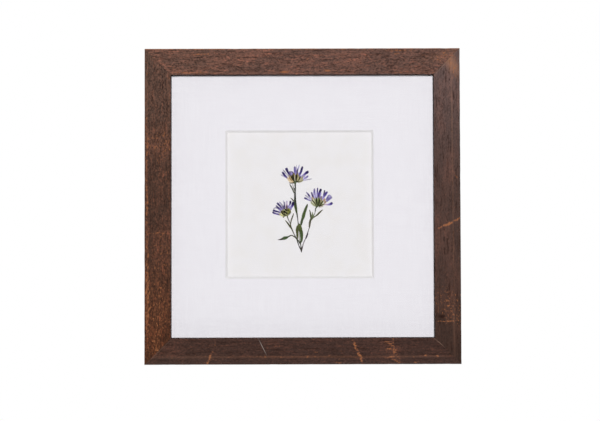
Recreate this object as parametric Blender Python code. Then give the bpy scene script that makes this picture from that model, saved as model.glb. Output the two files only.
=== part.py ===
"""A spray of pressed asters in a square wooden wall frame, one named object to each piece.

Metres, +Z up. The frame hangs upright with its face towards -Y, and the origin is the middle of its box.
"""

import math
from collections import namedtuple

import bmesh
import bpy
from mathutils import Matrix, Vector

MM = 0.001

# The frame
GLAZING_SIDE = 254 * MM
RABBET_WIDTH = 5.45 * MM
RAIL_WIDTH = 24.5 * MM
RAIL_DEPTH = 20 * MM
LIP_THICKNESS = 7.5 * MM
BAND_WIDTH = 7.2 * MM
BAND_DROP = 1.8 * MM
ARRIS = 0.5 * MM
SIGHT_SIDE = GLAZING_SIDE - 2 * RABBET_WIDTH
OUTER_SIDE = SIGHT_SIDE + 2 * RAIL_WIDTH
GAP = 0.3 * MM

# The layers in the rabbet, from the glass back
PANEL_SIDE = GLAZING_SIDE - 2 * GAP
GLASS_THICKNESS = 2 * MM
MAT_THICKNESS = 1.8 * MM
SHEET_THICKNESS = 0.4 * MM
BOARD_THICKNESS = 2.5 * MM
WINDOW_SIDE = 138 * MM
WINDOW_CENTRE = Vector((-2.7 * MM, 0, 1.7 * MM))

# What is fixed to the back
TAB_THICKNESS = 0.5 * MM
TAB_WIDTH = 9 * MM
TAB_LENGTH = 14 * MM
TAB_BITE = 4 * MM
TAB_SPACING = 150 * MM
HANGER_LENGTH = 45 * MM
HANGER_HEIGHT = 9 * MM
HANGER_METAL = 0.8 * MM
HANGER_RISE = 1.6 * MM
HANGER_FOOT = 9 * MM
TOOTH_COUNT = 9
TOOTH_PITCH = 2.4 * MM
TOOTH_DEPTH = 1.5 * MM
NAIL_SPACING = 37 * MM
NAIL_SHANK = 0.6 * MM
NAIL_HEAD = 1.7 * MM
NAIL_LENGTH = 8 * MM
BUMPER_RADIUS = 5 * MM
BUMPER_THICKNESS = HANGER_METAL + HANGER_RISE

# Places through the depth, front to back
TOTAL_DEPTH = RAIL_DEPTH + GAP + BUMPER_THICKNESS
FRONT = -TOTAL_DEPTH / 2
RAIL_BACK = FRONT + RAIL_DEPTH
GLASS_FRONT = FRONT + LIP_THICKNESS + GAP
MAT_FRONT = GLASS_FRONT + GLASS_THICKNESS + GAP
SHEET_FRONT = MAT_FRONT + MAT_THICKNESS + GAP
BOARD_FRONT = SHEET_FRONT + SHEET_THICKNESS + GAP
TAB_FRONT = BOARD_FRONT + BOARD_THICKNESS + GAP

# How high the pressed pieces lie above the sheet, and how thick they are
LOW = 0.2 * MM
MIDDLE = 0.85 * MM
HIGH = 1.35 * MM
CUP_LOW = 0.95 * MM
CUP_THICKNESS = 0.95 * MM
LEAF_THICKNESS = 0.3 * MM
RAY_THICKNESS = 0.26 * MM
RAY_STEP = 0.04 * MM
RAY_STEPS = 5
HUB_THICKNESS = 0.5 * MM
STEM_FLATNESS = 0.5

# The plant is placed by photograph pixels, which this scale and middle turn into places on the sheet
PIXEL = 0.934 * MM
MIDDLE_PIXEL_X = 302.5
MIDDLE_PIXEL_Y = 206.2

STEM_ROUTES = {
    "stem_centre": (
        (295.6, 182.9), (294.9, 188.0), (294.8, 193.5), (295.0, 199.6), (295.8, 206.0), (296.7, 212.4),
        (297.5, 218.8), (298.3, 224.3), (299.4, 232.0), (300.3, 240.0), (300.9, 246.0), (301.4, 251.6),
    ),
    "stem_left": (
        (286.4, 214.6), (288.1, 217.8), (289.2, 220.5), (290.4, 222.8), (290.8, 226.0), (292.3, 230.4),
        (294.4, 235.0), (296.0, 238.2), (297.4, 241.8), (298.6, 244.6), (299.7, 247.4), (300.5, 250.3),
    ),
    "stem_right": (
        (317.9, 206.0), (316.6, 206.9), (315.3, 208.6), (315.4, 210.7), (314.5, 213.6), (313.0, 216.4),
        (311.6, 218.8), (310.6, 222.0), (309.9, 225.5), (309.3, 228.0), (308.0, 231.5), (306.8, 234.8),
        (305.6, 237.9), (304.3, 240.5), (303.4, 243.0), (302.8, 245.6), (302.4, 248.0), (302.2, 250.5),
    ),
}
STEM_RADIUS_TOP = 0.5 * MM
STEM_RADIUS_FOOT = 0.31 * MM

# route runs from the base to the tip; width is at the widest; fullest is how far along that is; stalk is
# the share of the length that is a narrow stalk
Leaf = namedtuple("Leaf", "name route width fullest stalk lift")
LEAVES = (
    Leaf("leaf_centre_sheath", ((297.2, 216.5), (296.3, 210), (295.3, 203), (294.8, 196), (294.6, 188)),
         2.3 * MM, 0.45, 0, MIDDLE),
    Leaf("leaf_under_top_head", ((293.8, 192.2), (292.3, 188.8), (290.0, 184.0)), 1.1 * MM, 0.5, 0, LOW),
    Leaf("leaf_centre_small", ((293.9, 201.4), (292.4, 199.8), (290.7, 198.2)), 1.0 * MM, 0.4, 0, LOW),
    Leaf("leaf_left_upper", ((290.8, 224.5), (291.2, 221.2), (292.3, 218.0), (293.6, 213.6)),
         1.5 * MM, 0.55, 0, MIDDLE),
    Leaf("leaf_left_lower", ((291.4, 229.4), (288.9, 225.2), (287.2, 222.4), (285.2, 220.5)),
         1.7 * MM, 0.45, 0, MIDDLE),
    Leaf("leaf_arched", ((300.8, 245.2), (299.2, 241.6), (297.4, 239.4), (295.6, 238.0), (293.4, 236.2),
                         (291.1, 235.2), (289.2, 235.8), (287.2, 237.1), (284.4, 238.1), (281.0, 239.4),
                         (277.7, 239.9)), 2.7 * MM, 0.4, 0.52, MIDDLE),
    Leaf("leaf_folded_left", ((298.5, 225.6), (297.3, 228.5), (297.2, 233.0), (297.5, 238.8)),
         2.1 * MM, 0.35, 0, HIGH),
    Leaf("leaf_folded_right", ((299.9, 225.2), (300.8, 229.0), (301.3, 234.0), (301.3, 238.5),
                               (301.6, 242.4)), 4.0 * MM, 0.6, 0, HIGH),
    Leaf("leaf_tall", ((300.6, 225.4), (302.2, 219.5), (304.3, 213.5), (306.1, 208.5), (307.6, 204.4)),
         3.1 * MM, 0.42, 0, MIDDLE),
    Leaf("leaf_right_slim", ((310.9, 218.2), (310.7, 214.5), (309.3, 210.6)), 1.4 * MM, 0.4, 0, MIDDLE),
    Leaf("leaf_right_short", ((312.1, 217.6), (312.9, 215.0), (312.5, 212.2)), 1.2 * MM, 0.35, 0, MIDDLE),
    Leaf("leaf_right_spread", ((313.0, 218.0), (315.2, 216.6), (318.0, 214.4), (320.4, 211.9),
                               (322.7, 209.9)), 1.5 * MM, 0.5, 0, MIDDLE),
    Leaf("leaf_right_sheath", ((309.4, 227.6), (309.9, 223.6), (310.9, 219.7)), 1.8 * MM, 0.6, 0, MIDDLE),
    Leaf("bract_right_stem", ((305.9, 237.7), (307.0, 235.4), (308.2, 233.4)), 0.9 * MM, 0.5, 0, MIDDLE),
)

# hub is where a head's rays spring from, tips are where they end, and cup is the green cup in front of
# them: its centre, its half width and half height, and the tilt of its mouth to the left
Head = namedtuple("Head", "name hub tips cup cup_width cup_height tilt")
HEADS = (
    Head("top", (295.8, 179.4),
         ((281.3, 174.8), (282.4, 172.4), (285.3, 168.1), (289.0, 169.8), (294.8, 167.2), (296.9, 165.7),
          (299.5, 165.7), (302.4, 167.5), (308.0, 171.8), (307.6, 176.4), (311.3, 179.1)),
         (295.9, 180.0), 6.2 * MM, 3.1 * MM, math.radians(4)),
    Head("left", (284.4, 212.4),
         ((272.7, 212.2), (273.7, 210.0), (276.2, 205.6), (277.5, 203.3), (279.8, 202.2), (283.6, 200.4),
          (286.9, 201.2), (290.3, 201.2), (293.1, 202.8), (291.9, 207.3)),
         (285.0, 212.0), 4.9 * MM, 3.9 * MM, math.radians(22)),
    Head("right", (317.6, 203.6),
         ((304.4, 198.2), (305.6, 195.3), (306.8, 192.3), (311.4, 191.6), (314.6, 188.8), (317.6, 188.3),
          (321.0, 189.4), (324.5, 191.0), (326.9, 191.8), (331.2, 197.4), (332.0, 203.3)),
         (317.5, 202.1), 6.2 * MM, 4.2 * MM, math.radians(-6)),
)
RAY_WIDTH = 1.8 * MM
HUB_RADIUS = 2.0 * MM
BRACT_COUNT = 7
BRACT_WIDTH = 1.5 * MM
BRACT_REACH = 1.22
BRACT_FAN = math.radians(66)

# Which way an outline drawn on local X and Y faces, and which way it is extruded
FACING_FRONT = Matrix.Rotation(math.pi / 2, 4, "X")
ALONG_RAIL = Matrix(((0, 0, 1, 0), (1, 0, 0, 0), (0, 1, 0, 0), (0, 0, 0, 1)))
STANDING = Matrix.Identity(4)
# Turns a cone or bar that stands on Z so that its top points back
POINTING_BACK = Matrix.Rotation(-math.pi / 2, 4, "X")


def clear_scene():
    for obj in list(bpy.data.objects):
        bpy.data.objects.remove(obj, do_unlink=True)


def new_collection(name, parent):
    collection = bpy.data.collections.new(name)
    parent.children.link(collection)
    return collection


def new_material(name, colour, roughness, metallic=0.0):
    material = bpy.data.materials.new(name)
    material.diffuse_color = (*colour, 1)
    material.use_nodes = True
    shader = material.node_tree.nodes["Principled BSDF"]
    shader.inputs["Base Color"].default_value = (*colour, 1)
    shader.inputs["Roughness"].default_value = roughness
    shader.inputs["Metallic"].default_value = metallic
    return material


def add_object(name, data, material, collection):
    obj = bpy.data.objects.new(name, data)
    obj.data.materials.append(material)
    collection.objects.link(obj)
    return obj


def as_cutter(obj):
    obj.hide_render = True
    obj.display_type = "WIRE"
    return obj


def place(pixel, lift=0.0):
    """The point on the sheet, or lift above it, that a pixel of the photograph shows."""
    x = (pixel[0] - MIDDLE_PIXEL_X) * PIXEL
    z = (MIDDLE_PIXEL_Y - pixel[1]) * PIXEL
    return Vector((x, SHEET_FRONT - lift, z))


def smooth_route(points, count):
    """count points along a smooth curve through the given ones, evenly spread over its spans."""
    spans = len(points) - 1
    found = []
    for i in range(count):
        along = i / (count - 1) * spans
        k = min(int(along), spans - 1)
        t = along - k
        a = points[max(k - 1, 0)]
        b = points[k]
        c = points[k + 1]
        d = points[min(k + 2, spans)]
        found.append(
            (b * 2 + (c - a) * t + (a * 2 - b * 5 + c * 4 - d) * t**2 + (b * 3 - a - c * 3 + d) * t**3) / 2
        )
    return found


def prism_curve(name, outline, thickness, facing, middle, material, collection):
    """A flat outline of (x, y) corners given a thickness, turned by facing and centred on middle."""
    curve = bpy.data.curves.new(name, "CURVE")
    curve.dimensions = "2D"
    curve.fill_mode = "BOTH"
    curve.extrude = thickness / 2
    spline = curve.splines.new("POLY")
    spline.points.add(len(outline) - 1)
    for point, corner in zip(spline.points, outline):
        point.co = (corner[0], corner[1], 0, 1)
    spline.use_cyclic_u = True
    obj = add_object(name, curve, material, collection)
    obj.matrix_world = Matrix.Translation(middle) @ facing
    return obj


def as_mesh(obj, collection):
    """The curve object made a mesh object of the same name with its caps welded on."""
    bpy.context.view_layer.update()
    graph = bpy.context.evaluated_depsgraph_get()
    mesh = bpy.data.meshes.new_from_object(obj.evaluated_get(graph))
    bm = bmesh.new()
    bm.from_mesh(mesh)
    bmesh.ops.remove_doubles(bm, verts=bm.verts, dist=0.001 * MM)
    bmesh.ops.recalc_face_normals(bm, faces=bm.faces)
    bm.to_mesh(mesh)
    bm.free()
    name = obj.name
    matrix = obj.matrix_world.copy()
    bpy.data.objects.remove(obj, do_unlink=True)
    made = bpy.data.objects.new(name, mesh)
    made.matrix_world = matrix
    collection.objects.link(made)
    return made


def prism(name, outline, thickness, facing, middle, material, collection):
    curve = prism_curve(name, outline, thickness, facing, middle, material, collection)
    return as_mesh(curve, collection)


def box(name, size, middle, material, collection, turn=Matrix.Identity(4)):
    """A box of size (x, y, z) centred on middle, then turned about the origin."""
    mesh = bpy.data.meshes.new(name)
    bm = bmesh.new()
    bmesh.ops.create_cube(bm, size=1, matrix=Matrix.Translation(middle) @ Matrix.Diagonal((*size, 1)))
    bm.to_mesh(mesh)
    bm.free()
    mesh.transform(turn)
    return add_object(name, mesh, material, collection)


def round_bar(name, radius, y_low, y_high, centre, material, collection, segments=16):
    """A round bar along Y between two depths."""
    mesh = bpy.data.meshes.new(name)
    bm = bmesh.new()
    middle = Vector((centre[0], (y_low + y_high) / 2, centre[1]))
    bmesh.ops.create_cone(
        bm, cap_ends=True, segments=segments, radius1=radius, radius2=radius, depth=y_high - y_low,
        matrix=Matrix.Translation(middle) @ POINTING_BACK,
    )
    bm.to_mesh(mesh)
    bm.free()
    mesh.shade_smooth()
    mesh.set_sharp_from_angle(angle=math.radians(40))
    return add_object(name, mesh, material, collection)


def boolean(obj, other, operation="DIFFERENCE"):
    modifier = obj.modifiers.new(f"{operation.lower()} {other.name}", "BOOLEAN")
    modifier.operation = operation
    modifier.solver = "EXACT"
    if isinstance(other, bpy.types.Collection):
        modifier.operand_type = "COLLECTION"
        modifier.collection = other
    else:
        modifier.object = other
    return modifier


def rail_profile():
    """The rail's section as (depth, height): its lower side is the frame's outside, its upper the sight."""
    sight = -SIGHT_SIDE / 2
    outer = -OUTER_SIDE / 2
    lip_back = FRONT + LIP_THICKNESS
    return (
        (FRONT, sight - ARRIS),
        (FRONT + ARRIS, sight),
        (lip_back, sight),
        (lip_back, sight - RABBET_WIDTH),
        (RAIL_BACK, sight - RABBET_WIDTH),
        (RAIL_BACK, outer),
        (FRONT + BAND_DROP + ARRIS, outer),
        (FRONT + BAND_DROP, outer + ARRIS),
        (FRONT, outer + BAND_WIDTH),
    )


def mitre(mesh):
    """Cuts both ends of a bottom rail at 45 degrees, each half a gap short of its neighbour."""
    bm = bmesh.new()
    bm.from_mesh(mesh)
    for side in (-1, 1):
        bmesh.ops.bisect_plane(
            bm,
            geom=bm.verts[:] + bm.edges[:] + bm.faces[:],
            plane_co=(0, 0, -GAP / math.sqrt(2)),
            plane_no=(side, 0, 1),
            clear_outer=True,
        )
        bmesh.ops.holes_fill(bm, edges=[e for e in bm.edges if e.is_boundary], sides=0)
    bmesh.ops.recalc_face_normals(bm, faces=bm.faces)
    bm.to_mesh(mesh)
    bm.free()


def turned(quarter):
    """The turn about Y that takes the bottom rail to the left, top or right one."""
    return Matrix.Rotation(quarter * math.pi / 2, 4, "Y")


def rails(wood, collection, cutters):
    """The four mitred rails, each with a slot for every tab that bites into it."""
    made = {}
    for quarter, side in enumerate(("bottom", "left", "top", "right")):
        rail = prism(
            f"rail_{side}", rail_profile(), OUTER_SIDE, ALONG_RAIL, Vector(), wood[side], collection
        )
        rail.data.transform(rail.matrix_world)
        rail.matrix_world = Matrix.Identity(4)
        mitre(rail.data)
        rail.data.transform(turned(quarter))
        for end in (-1, 1):
            slot = box(
                f"slot_{side}_{'a' if end < 0 else 'b'}",
                (TAB_WIDTH + 2 * GAP, TAB_THICKNESS + 2 * GAP, TAB_BITE + 2 * GAP),
                (end * TAB_SPACING / 2, TAB_FRONT + TAB_THICKNESS / 2, -GLAZING_SIDE / 2 - TAB_BITE / 2),
                wood[side], cutters, turned(quarter),
            )
            boolean(rail, as_cutter(slot))
        made[side] = rail
    return made


def tabs(steel, collection):
    """The eight flat steel tabs that hold the backing board, two to a rail."""
    half = TAB_WIDTH / 2
    bite = -GLAZING_SIDE / 2 - TAB_BITE
    tail = bite + TAB_LENGTH
    shoulder = bite + half
    number = 0
    for quarter in range(4):
        for end in (-1, 1):
            number += 1
            x = end * TAB_SPACING / 2
            left = x - half
            right = x + half
            outline = ((left, tail), (left, shoulder), (x, bite), (right, shoulder), (right, tail))
            middle = Vector((0, TAB_FRONT + TAB_THICKNESS / 2, 0))
            tab = prism(
                f"tab_{number}", outline, TAB_THICKNESS, FACING_FRONT, middle, steel, collection
            )
            tab.matrix_world = turned(quarter) @ tab.matrix_world


def panels(glass, mat, paper, board, collection, cutters):
    """The glass, the window mat, the sheet the plant lies on and the backing board."""
    def panel(name, front, thickness, material):
        size = (PANEL_SIDE, thickness, PANEL_SIDE)
        return box(name, size, (0, front + thickness / 2, 0), material, collection)

    panel("glass_pane", GLASS_FRONT, GLASS_THICKNESS, glass)
    panel("mount_sheet", SHEET_FRONT, SHEET_THICKNESS, paper)
    panel("backing_board", BOARD_FRONT, BOARD_THICKNESS, board)
    window_mat = panel("window_mat", MAT_FRONT, MAT_THICKNESS, mat)
    # A four sided cone, cut off past both faces, gives the window its 45 degree bevel
    past = MM
    front_half = WINDOW_SIDE / 2 + past
    back_half = WINDOW_SIDE / 2 - MAT_THICKNESS - past
    mesh = bpy.data.meshes.new("window_cutter")
    bm = bmesh.new()
    bmesh.ops.create_cone(
        bm, cap_ends=True, segments=4, radius1=front_half * math.sqrt(2), radius2=back_half * math.sqrt(2),
        depth=MAT_THICKNESS + 2 * past, matrix=Matrix.Rotation(math.pi / 4, 4, "Z"),
    )
    bm.to_mesh(mesh)
    bm.free()
    middle = WINDOW_CENTRE + Vector((0, MAT_FRONT + MAT_THICKNESS / 2, 0))
    mesh.transform(Matrix.Translation(middle) @ POINTING_BACK)
    boolean(window_mat, as_cutter(add_object("window_cutter", mesh, mat, cutters)))


def hanger(steel, top_rail, collection, cutters):
    """The toothed hanger and its two nails on the back of the top rail, and the nails' holes."""
    z = (SIGHT_SIDE + OUTER_SIDE) / 4 + RABBET_WIDTH / 2
    near = RAIL_BACK + GAP
    half = HANGER_LENGTH / 2
    foot = half - HANGER_FOOT
    raised = foot - HANGER_RISE
    metal = HANGER_METAL
    rise = HANGER_RISE
    outline = (
        (-half, near), (-foot, near), (-raised, near + rise), (raised, near + rise), (foot, near),
        (half, near), (half, near + metal), (foot + metal / 2, near + metal),
        (raised + metal / 2, near + rise + metal), (-raised - metal / 2, near + rise + metal),
        (-foot - metal / 2, near + metal), (-half, near + metal),
    )
    plate = prism(
        "sawtooth_hanger", outline, HANGER_HEIGHT, STANDING, Vector((0, 0, z)), steel, collection
    )
    low = z - HANGER_HEIGHT / 2
    for i in range(TOOTH_COUNT):
        x = (i - (TOOTH_COUNT - 1) / 2) * TOOTH_PITCH
        half_pitch = TOOTH_PITCH * 0.42
        notch_outline = ((x - half_pitch, low - MM), (x + half_pitch, low - MM), (x, low + TOOTH_DEPTH))
        middle = Vector((0, near + rise, 0))
        notch = prism(f"notch_{i}", notch_outline, 4 * metal, FACING_FRONT, middle, steel, cutters)
        boolean(plate, as_cutter(notch))
    for end, side in ((-1, "left"), (1, "right")):
        centre = (end * NAIL_SPACING / 2, z)
        head_low = near + metal + GAP
        hole = round_bar(
            f"hole_{side}", NAIL_SHANK + GAP, RAIL_BACK - NAIL_LENGTH, head_low + MM, centre, steel, cutters
        )
        boolean(plate, as_cutter(hole))
        boolean(top_rail, hole)
        nail = round_bar(
            f"hanger_nail_{side}", NAIL_HEAD, head_low, head_low + 0.6 * MM, centre, steel, collection
        )
        shank_low = RAIL_BACK - NAIL_LENGTH + GAP
        shank = round_bar(
            f"shank_{side}", NAIL_SHANK, shank_low, head_low + 0.3 * MM, centre, steel, cutters, 12
        )
        boolean(nail, as_cutter(shank), "UNION")


def bumpers(rubber, collection):
    """The two round pads at the bottom corners that keep the frame upright against the wall."""
    reach = (SIGHT_SIDE + OUTER_SIDE) / 4 + RABBET_WIDTH / 2
    for end, side in ((-1, "left"), (1, "right")):
        near = RAIL_BACK + GAP
        centre = (end * reach, -reach)
        round_bar(
            f"bumper_{side}", BUMPER_RADIUS, near, near + BUMPER_THICKNESS, centre, rubber, collection, 24
        )


def blade_width(t, fullest, stalk):
    """A leaf's or ray's width at t from base to tip, as a share of its greatest."""
    if t < stalk:
        return 0.3 * min(1, t / 0.05)
    along = (t - stalk) / (1 - stalk)
    bend = math.log(0.5) / math.log(fullest)
    blade = math.sin(math.pi * along**bend) ** 0.7
    return max(blade, 0.3 * (1 - along)) if stalk else blade


def blade_outline(route, width, fullest, stalk, stations):
    """A closed outline of (x, z) corners about a route from base to tip."""
    line = [Vector((p.x, p.z)) for p in smooth_route(route, stations)]
    left = []
    right = []
    for i in range(1, stations - 1):
        ahead = (line[i + 1] - line[i - 1]).normalized()
        side = Vector((-ahead.y, ahead.x))
        reach = side * width / 2 * blade_width(i / (stations - 1), fullest, stalk)
        left.append(line[i] + reach)
        right.append(line[i] - reach)
    return [line[0], *right, line[-1], *reversed(left)]


def leaves(green, collection):
    for leaf in LEAVES:
        route = [place(pixel) for pixel in leaf.route]
        stations = 4 * len(route) - 2 if leaf.stalk == 0 else 2 * len(route) + 1
        outline = blade_outline(route, leaf.width, leaf.fullest, leaf.stalk, stations)
        middle = Vector((0, SHEET_FRONT - leaf.lift - LEAF_THICKNESS / 2, 0))
        prism_curve(leaf.name, outline, LEAF_THICKNESS, FACING_FRONT, middle, green, collection)


def stems(green, collection):
    """Each stem is a thin tube, pressed to half its thickness."""
    for name, pixels in STEM_ROUTES.items():
        route = smooth_route([place(pixel) for pixel in pixels], 2 * len(pixels) - 1)
        curve = bpy.data.curves.new(name, "CURVE")
        curve.dimensions = "3D"
        curve.bevel_depth = STEM_RADIUS_TOP
        curve.bevel_resolution = 2
        curve.use_fill_caps = True
        spline = curve.splines.new("POLY")
        spline.points.add(len(route) - 1)
        for i, (point, at) in enumerate(zip(spline.points, route)):
            point.co = (at.x, 0, at.z, 1)
            taper = i / (len(route) - 1)
            point.radius = 1 + (STEM_RADIUS_FOOT / STEM_RADIUS_TOP - 1) * taper
        stem = add_object(name, curve, green, collection)
        stem.location.y = SHEET_FRONT - LOW - STEM_RADIUS_TOP * STEM_FLATNESS
        stem.scale.y = STEM_FLATNESS


def rays(head, violet, collection, cutters):
    """A head's ray petals, one flat blade each, joined where they spring from the hub."""
    group = new_collection(f"rays_{head.name}_blades", cutters)
    hub = place(head.hub)
    for i, tip in enumerate(head.tips):
        end = place(tip)
        lift = LOW + (i * 2 % RAY_STEPS) * RAY_STEP
        outline = blade_outline([hub, (hub + end) / 2, end], RAY_WIDTH, 0.74, 0, 10)
        middle = Vector((0, SHEET_FRONT - lift - RAY_THICKNESS / 2, 0))
        ray = prism(
            f"ray_{head.name}_{i + 1}", outline, RAY_THICKNESS, FACING_FRONT, middle, violet, group
        )
        as_cutter(ray)
    low = SHEET_FRONT - LOW - HUB_THICKNESS
    body = round_bar(
        f"rays_{head.name}", HUB_RADIUS, low, SHEET_FRONT - LOW, (hub.x, hub.z), violet, collection, 14
    )
    boolean(body, group, "UNION")


def cup(head, olive, collection, cutters):
    """The pressed green cup that a head's petals stand in, with its pointed bracts."""
    group = new_collection(f"cup_{head.name}_bracts", cutters)
    centre = place(head.cup)
    tilt = Matrix.Rotation(-head.tilt, 3, "Y")
    for i in range(BRACT_COUNT):
        share = i / (BRACT_COUNT - 1) * 2 - 1
        angle = share * BRACT_FAN
        root = Vector((share * head.cup_width * 0.35, 0, -head.cup_height * 0.75))
        tip = Vector((math.sin(angle) * head.cup_width, 0, math.cos(angle) * head.cup_height)) * BRACT_REACH
        route = [centre + tilt @ root, centre + tilt @ ((root + tip) / 2), centre + tilt @ tip]
        lift = CUP_LOW + CUP_THICKNESS / 2 + (i % 3 - 1) * RAY_STEP
        outline = blade_outline(route, BRACT_WIDTH, 0.55, 0, 7)
        middle = Vector((0, SHEET_FRONT - lift, 0))
        bract = prism(
            f"bract_{head.name}_{i + 1}", outline, LEAF_THICKNESS, FACING_FRONT, middle, olive, group
        )
        as_cutter(bract)
    mesh = bpy.data.meshes.new(f"cup_{head.name}")
    bm = bmesh.new()
    bmesh.ops.create_uvsphere(bm, u_segments=16, v_segments=8, radius=1)
    bm.to_mesh(mesh)
    bm.free()
    size = Matrix.Diagonal((head.cup_width, CUP_THICKNESS / 2, head.cup_height, 1))
    middle = centre - Vector((0, CUP_LOW + CUP_THICKNESS / 2, 0))
    mesh.transform(Matrix.Translation(middle) @ tilt.to_4x4() @ size)
    mesh.shade_smooth()
    mesh.set_sharp_from_angle(angle=math.radians(40))
    boolean(add_object(f"cup_{head.name}", mesh, olive, collection), group, "UNION")


def main():
    clear_scene()
    collection = new_collection("pressed_flower_frame", bpy.context.scene.collection)
    cutters = new_collection("cutters", bpy.context.scene.collection)
    cutters.hide_render = True
    wood = {
        "bottom": new_material("dark stained wood, bottom", (0.066, 0.035, 0.027), 0.5),
        "left": new_material("dark stained wood, left", (0.089, 0.044, 0.03), 0.5),
        "top": new_material("dark stained wood, top", (0.135, 0.072, 0.058), 0.5),
        "right": new_material("dark stained wood, right", (0.092, 0.05, 0.038), 0.5),
    }
    steel = new_material("zinc plated steel", (0.55, 0.56, 0.57), 0.35, 1)
    rubber = new_material("grey rubber", (0.12, 0.12, 0.12), 0.8)
    glass = new_material("window glass", (0.95, 0.97, 0.96), 0.05)
    mat = new_material("white mat board", (0.81, 0.8, 0.84), 0.9)
    paper = new_material("white rag paper", (0.8, 0.79, 0.81), 0.95)
    board = new_material("brown hardboard", (0.26, 0.15, 0.08), 0.8)
    green = new_material("dried green leaf", (0.07, 0.1, 0.035), 0.8)
    olive = new_material("dried olive bract", (0.25, 0.24, 0.07), 0.8)
    violet = new_material("dried violet petal", (0.16, 0.1, 0.33), 0.8)
    made = rails(wood, collection, cutters)
    tabs(steel, collection)
    panels(glass, mat, paper, board, collection, cutters)
    hanger(steel, made["top"], collection, cutters)
    bumpers(rubber, collection)
    stems(green, collection)
    leaves(green, collection)
    for head in HEADS:
        rays(head, violet, collection, cutters)
        cup(head, olive, collection, cutters)


main()
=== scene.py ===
"""Dresses the pressed flower frame: worn stained rails, glass, mat, paper and the pressed asters under it.

Run as a script. Metres, +Z up, the frame's face towards -Y. Places on the plant are pixels of the
photograph, turned into places on the mount sheet by one scale.
"""

import math
import random
from collections import namedtuple

import bmesh
import bpy
from bpy.props import FloatProperty, FloatVectorProperty, PointerProperty
from mathutils import Matrix, Vector, noise


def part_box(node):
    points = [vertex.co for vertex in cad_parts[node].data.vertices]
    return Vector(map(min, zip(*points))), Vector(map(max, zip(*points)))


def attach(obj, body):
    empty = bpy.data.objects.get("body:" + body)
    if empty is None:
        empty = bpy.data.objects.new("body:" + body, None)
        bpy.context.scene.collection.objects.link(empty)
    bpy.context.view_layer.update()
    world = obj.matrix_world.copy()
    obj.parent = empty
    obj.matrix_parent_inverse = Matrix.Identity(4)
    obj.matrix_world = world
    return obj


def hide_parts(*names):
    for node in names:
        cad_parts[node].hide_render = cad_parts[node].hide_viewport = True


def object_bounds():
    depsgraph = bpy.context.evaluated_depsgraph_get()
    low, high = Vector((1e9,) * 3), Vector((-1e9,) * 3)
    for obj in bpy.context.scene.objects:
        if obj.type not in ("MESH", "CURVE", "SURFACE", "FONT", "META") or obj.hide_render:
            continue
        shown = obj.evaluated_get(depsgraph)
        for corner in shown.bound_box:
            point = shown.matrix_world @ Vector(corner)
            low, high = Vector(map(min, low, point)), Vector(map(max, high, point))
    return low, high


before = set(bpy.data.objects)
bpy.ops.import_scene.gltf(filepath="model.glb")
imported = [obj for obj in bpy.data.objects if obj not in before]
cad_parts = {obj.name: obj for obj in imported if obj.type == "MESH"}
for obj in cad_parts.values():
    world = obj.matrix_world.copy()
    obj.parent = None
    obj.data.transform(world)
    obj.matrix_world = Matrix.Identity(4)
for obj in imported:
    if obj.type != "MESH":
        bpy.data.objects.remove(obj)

bl_info = {
    "name": "Pressed Flower Frame",
    "version": (1, 0, 0),
    "blender": (4, 5, 0),
    "location": "View3D > Sidebar > Pressed Flower",
    "description": "Finishes a square wooden frame with its glazed spray of pressed asters",
    "category": "Object",
}

MM = 0.001
BODY = "root"

# The frame's sizes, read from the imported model
CAD_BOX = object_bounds()
FRONT = CAD_BOX[0].y
OUTER_HALF = CAD_BOX[1].x
SIGHT_HALF = -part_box("rail_bottom")[1].z
RAIL_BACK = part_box("rail_bottom")[1].y
RAIL_WIDTH = OUTER_HALF - SIGHT_HALF
GLASS_PLAY = 0.3 * MM
RABBET_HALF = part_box("glass_pane")[1].x + GLASS_PLAY
MAT_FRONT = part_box("window_mat")[0].y
SHEET_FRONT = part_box("mount_sheet")[0].y

# The rail's section, as in the solid rails
LIP_THICKNESS = 7.5 * MM
BAND_WIDTH = 7.2 * MM
BAND_DROP = 1.8 * MM
BAND_AT = RAIL_WIDTH - BAND_WIDTH
MITRE_GAP = 0.04 * MM
RAIL_STATIONS = 96
# The rails in the order in which a quarter turn takes one to the next
SIDES = ("bottom", "left", "top", "right")

# Pixels of the photograph to places: on the mount sheet, and on the rails' face
SHEET_PIXEL = 0.934 * MM
SHEET_MIDDLE = (302.5, 206.2)
FACE_PIXEL = 0.9227 * MM
FACE_MIDDLE = (302.5, 205.8)

# The stage in metres, seen from the frame's middle
LAMP_PLACE = Vector((0.05, -2.49, 0.24))
LAMP_SIDE = 0.35
FLOOR_HALF = 2.2
CAMERA_PLACE = (-3.67 * MM, FRONT - 999.6 * MM, -28.6 * MM)
CAMERA_YAW = math.radians(-0.075)
CAMERA_RISE = math.radians(1.393)
CAMERA_ROLL = math.radians(-0.153)
# How bright the studio is by direction: an axis, from where to where along it, and the share at each end
STUDIO_RAMPS = (("Z", -0.3, 0.6, 0.3, 1.2), ("Y", -0.2, 0.1, 0.2, 1.0))

# Vertices nearer than this are one
MERGE_DISTANCE = 0.001 * MM

# The Mix node's sockets for colours
MIX_FACTOR = 0
MIX_A = 6
MIX_B = 7
MIX_RESULT = 2


def linear(code):
    """The linear colour of an sRGB hex code."""
    channels = [int(code[i:i + 2], 16) / 255 for i in (1, 3, 5)]
    return tuple(c / 12.92 if c <= 0.04045 else ((c + 0.055) / 1.055) ** 2.4 for c in channels)


def colour_property(name, description, code):
    """A colour that a user may change, given as an sRGB hex code."""
    return FloatVectorProperty(
        name=name, description=description, subtype="COLOR", size=3, min=0, max=1, default=linear(code)
    )


def length_property(name, description, metres):
    """A length that a user may change."""
    return FloatProperty(
        name=name, description=description, subtype="DISTANCE", unit="LENGTH", min=0, default=metres
    )


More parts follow.
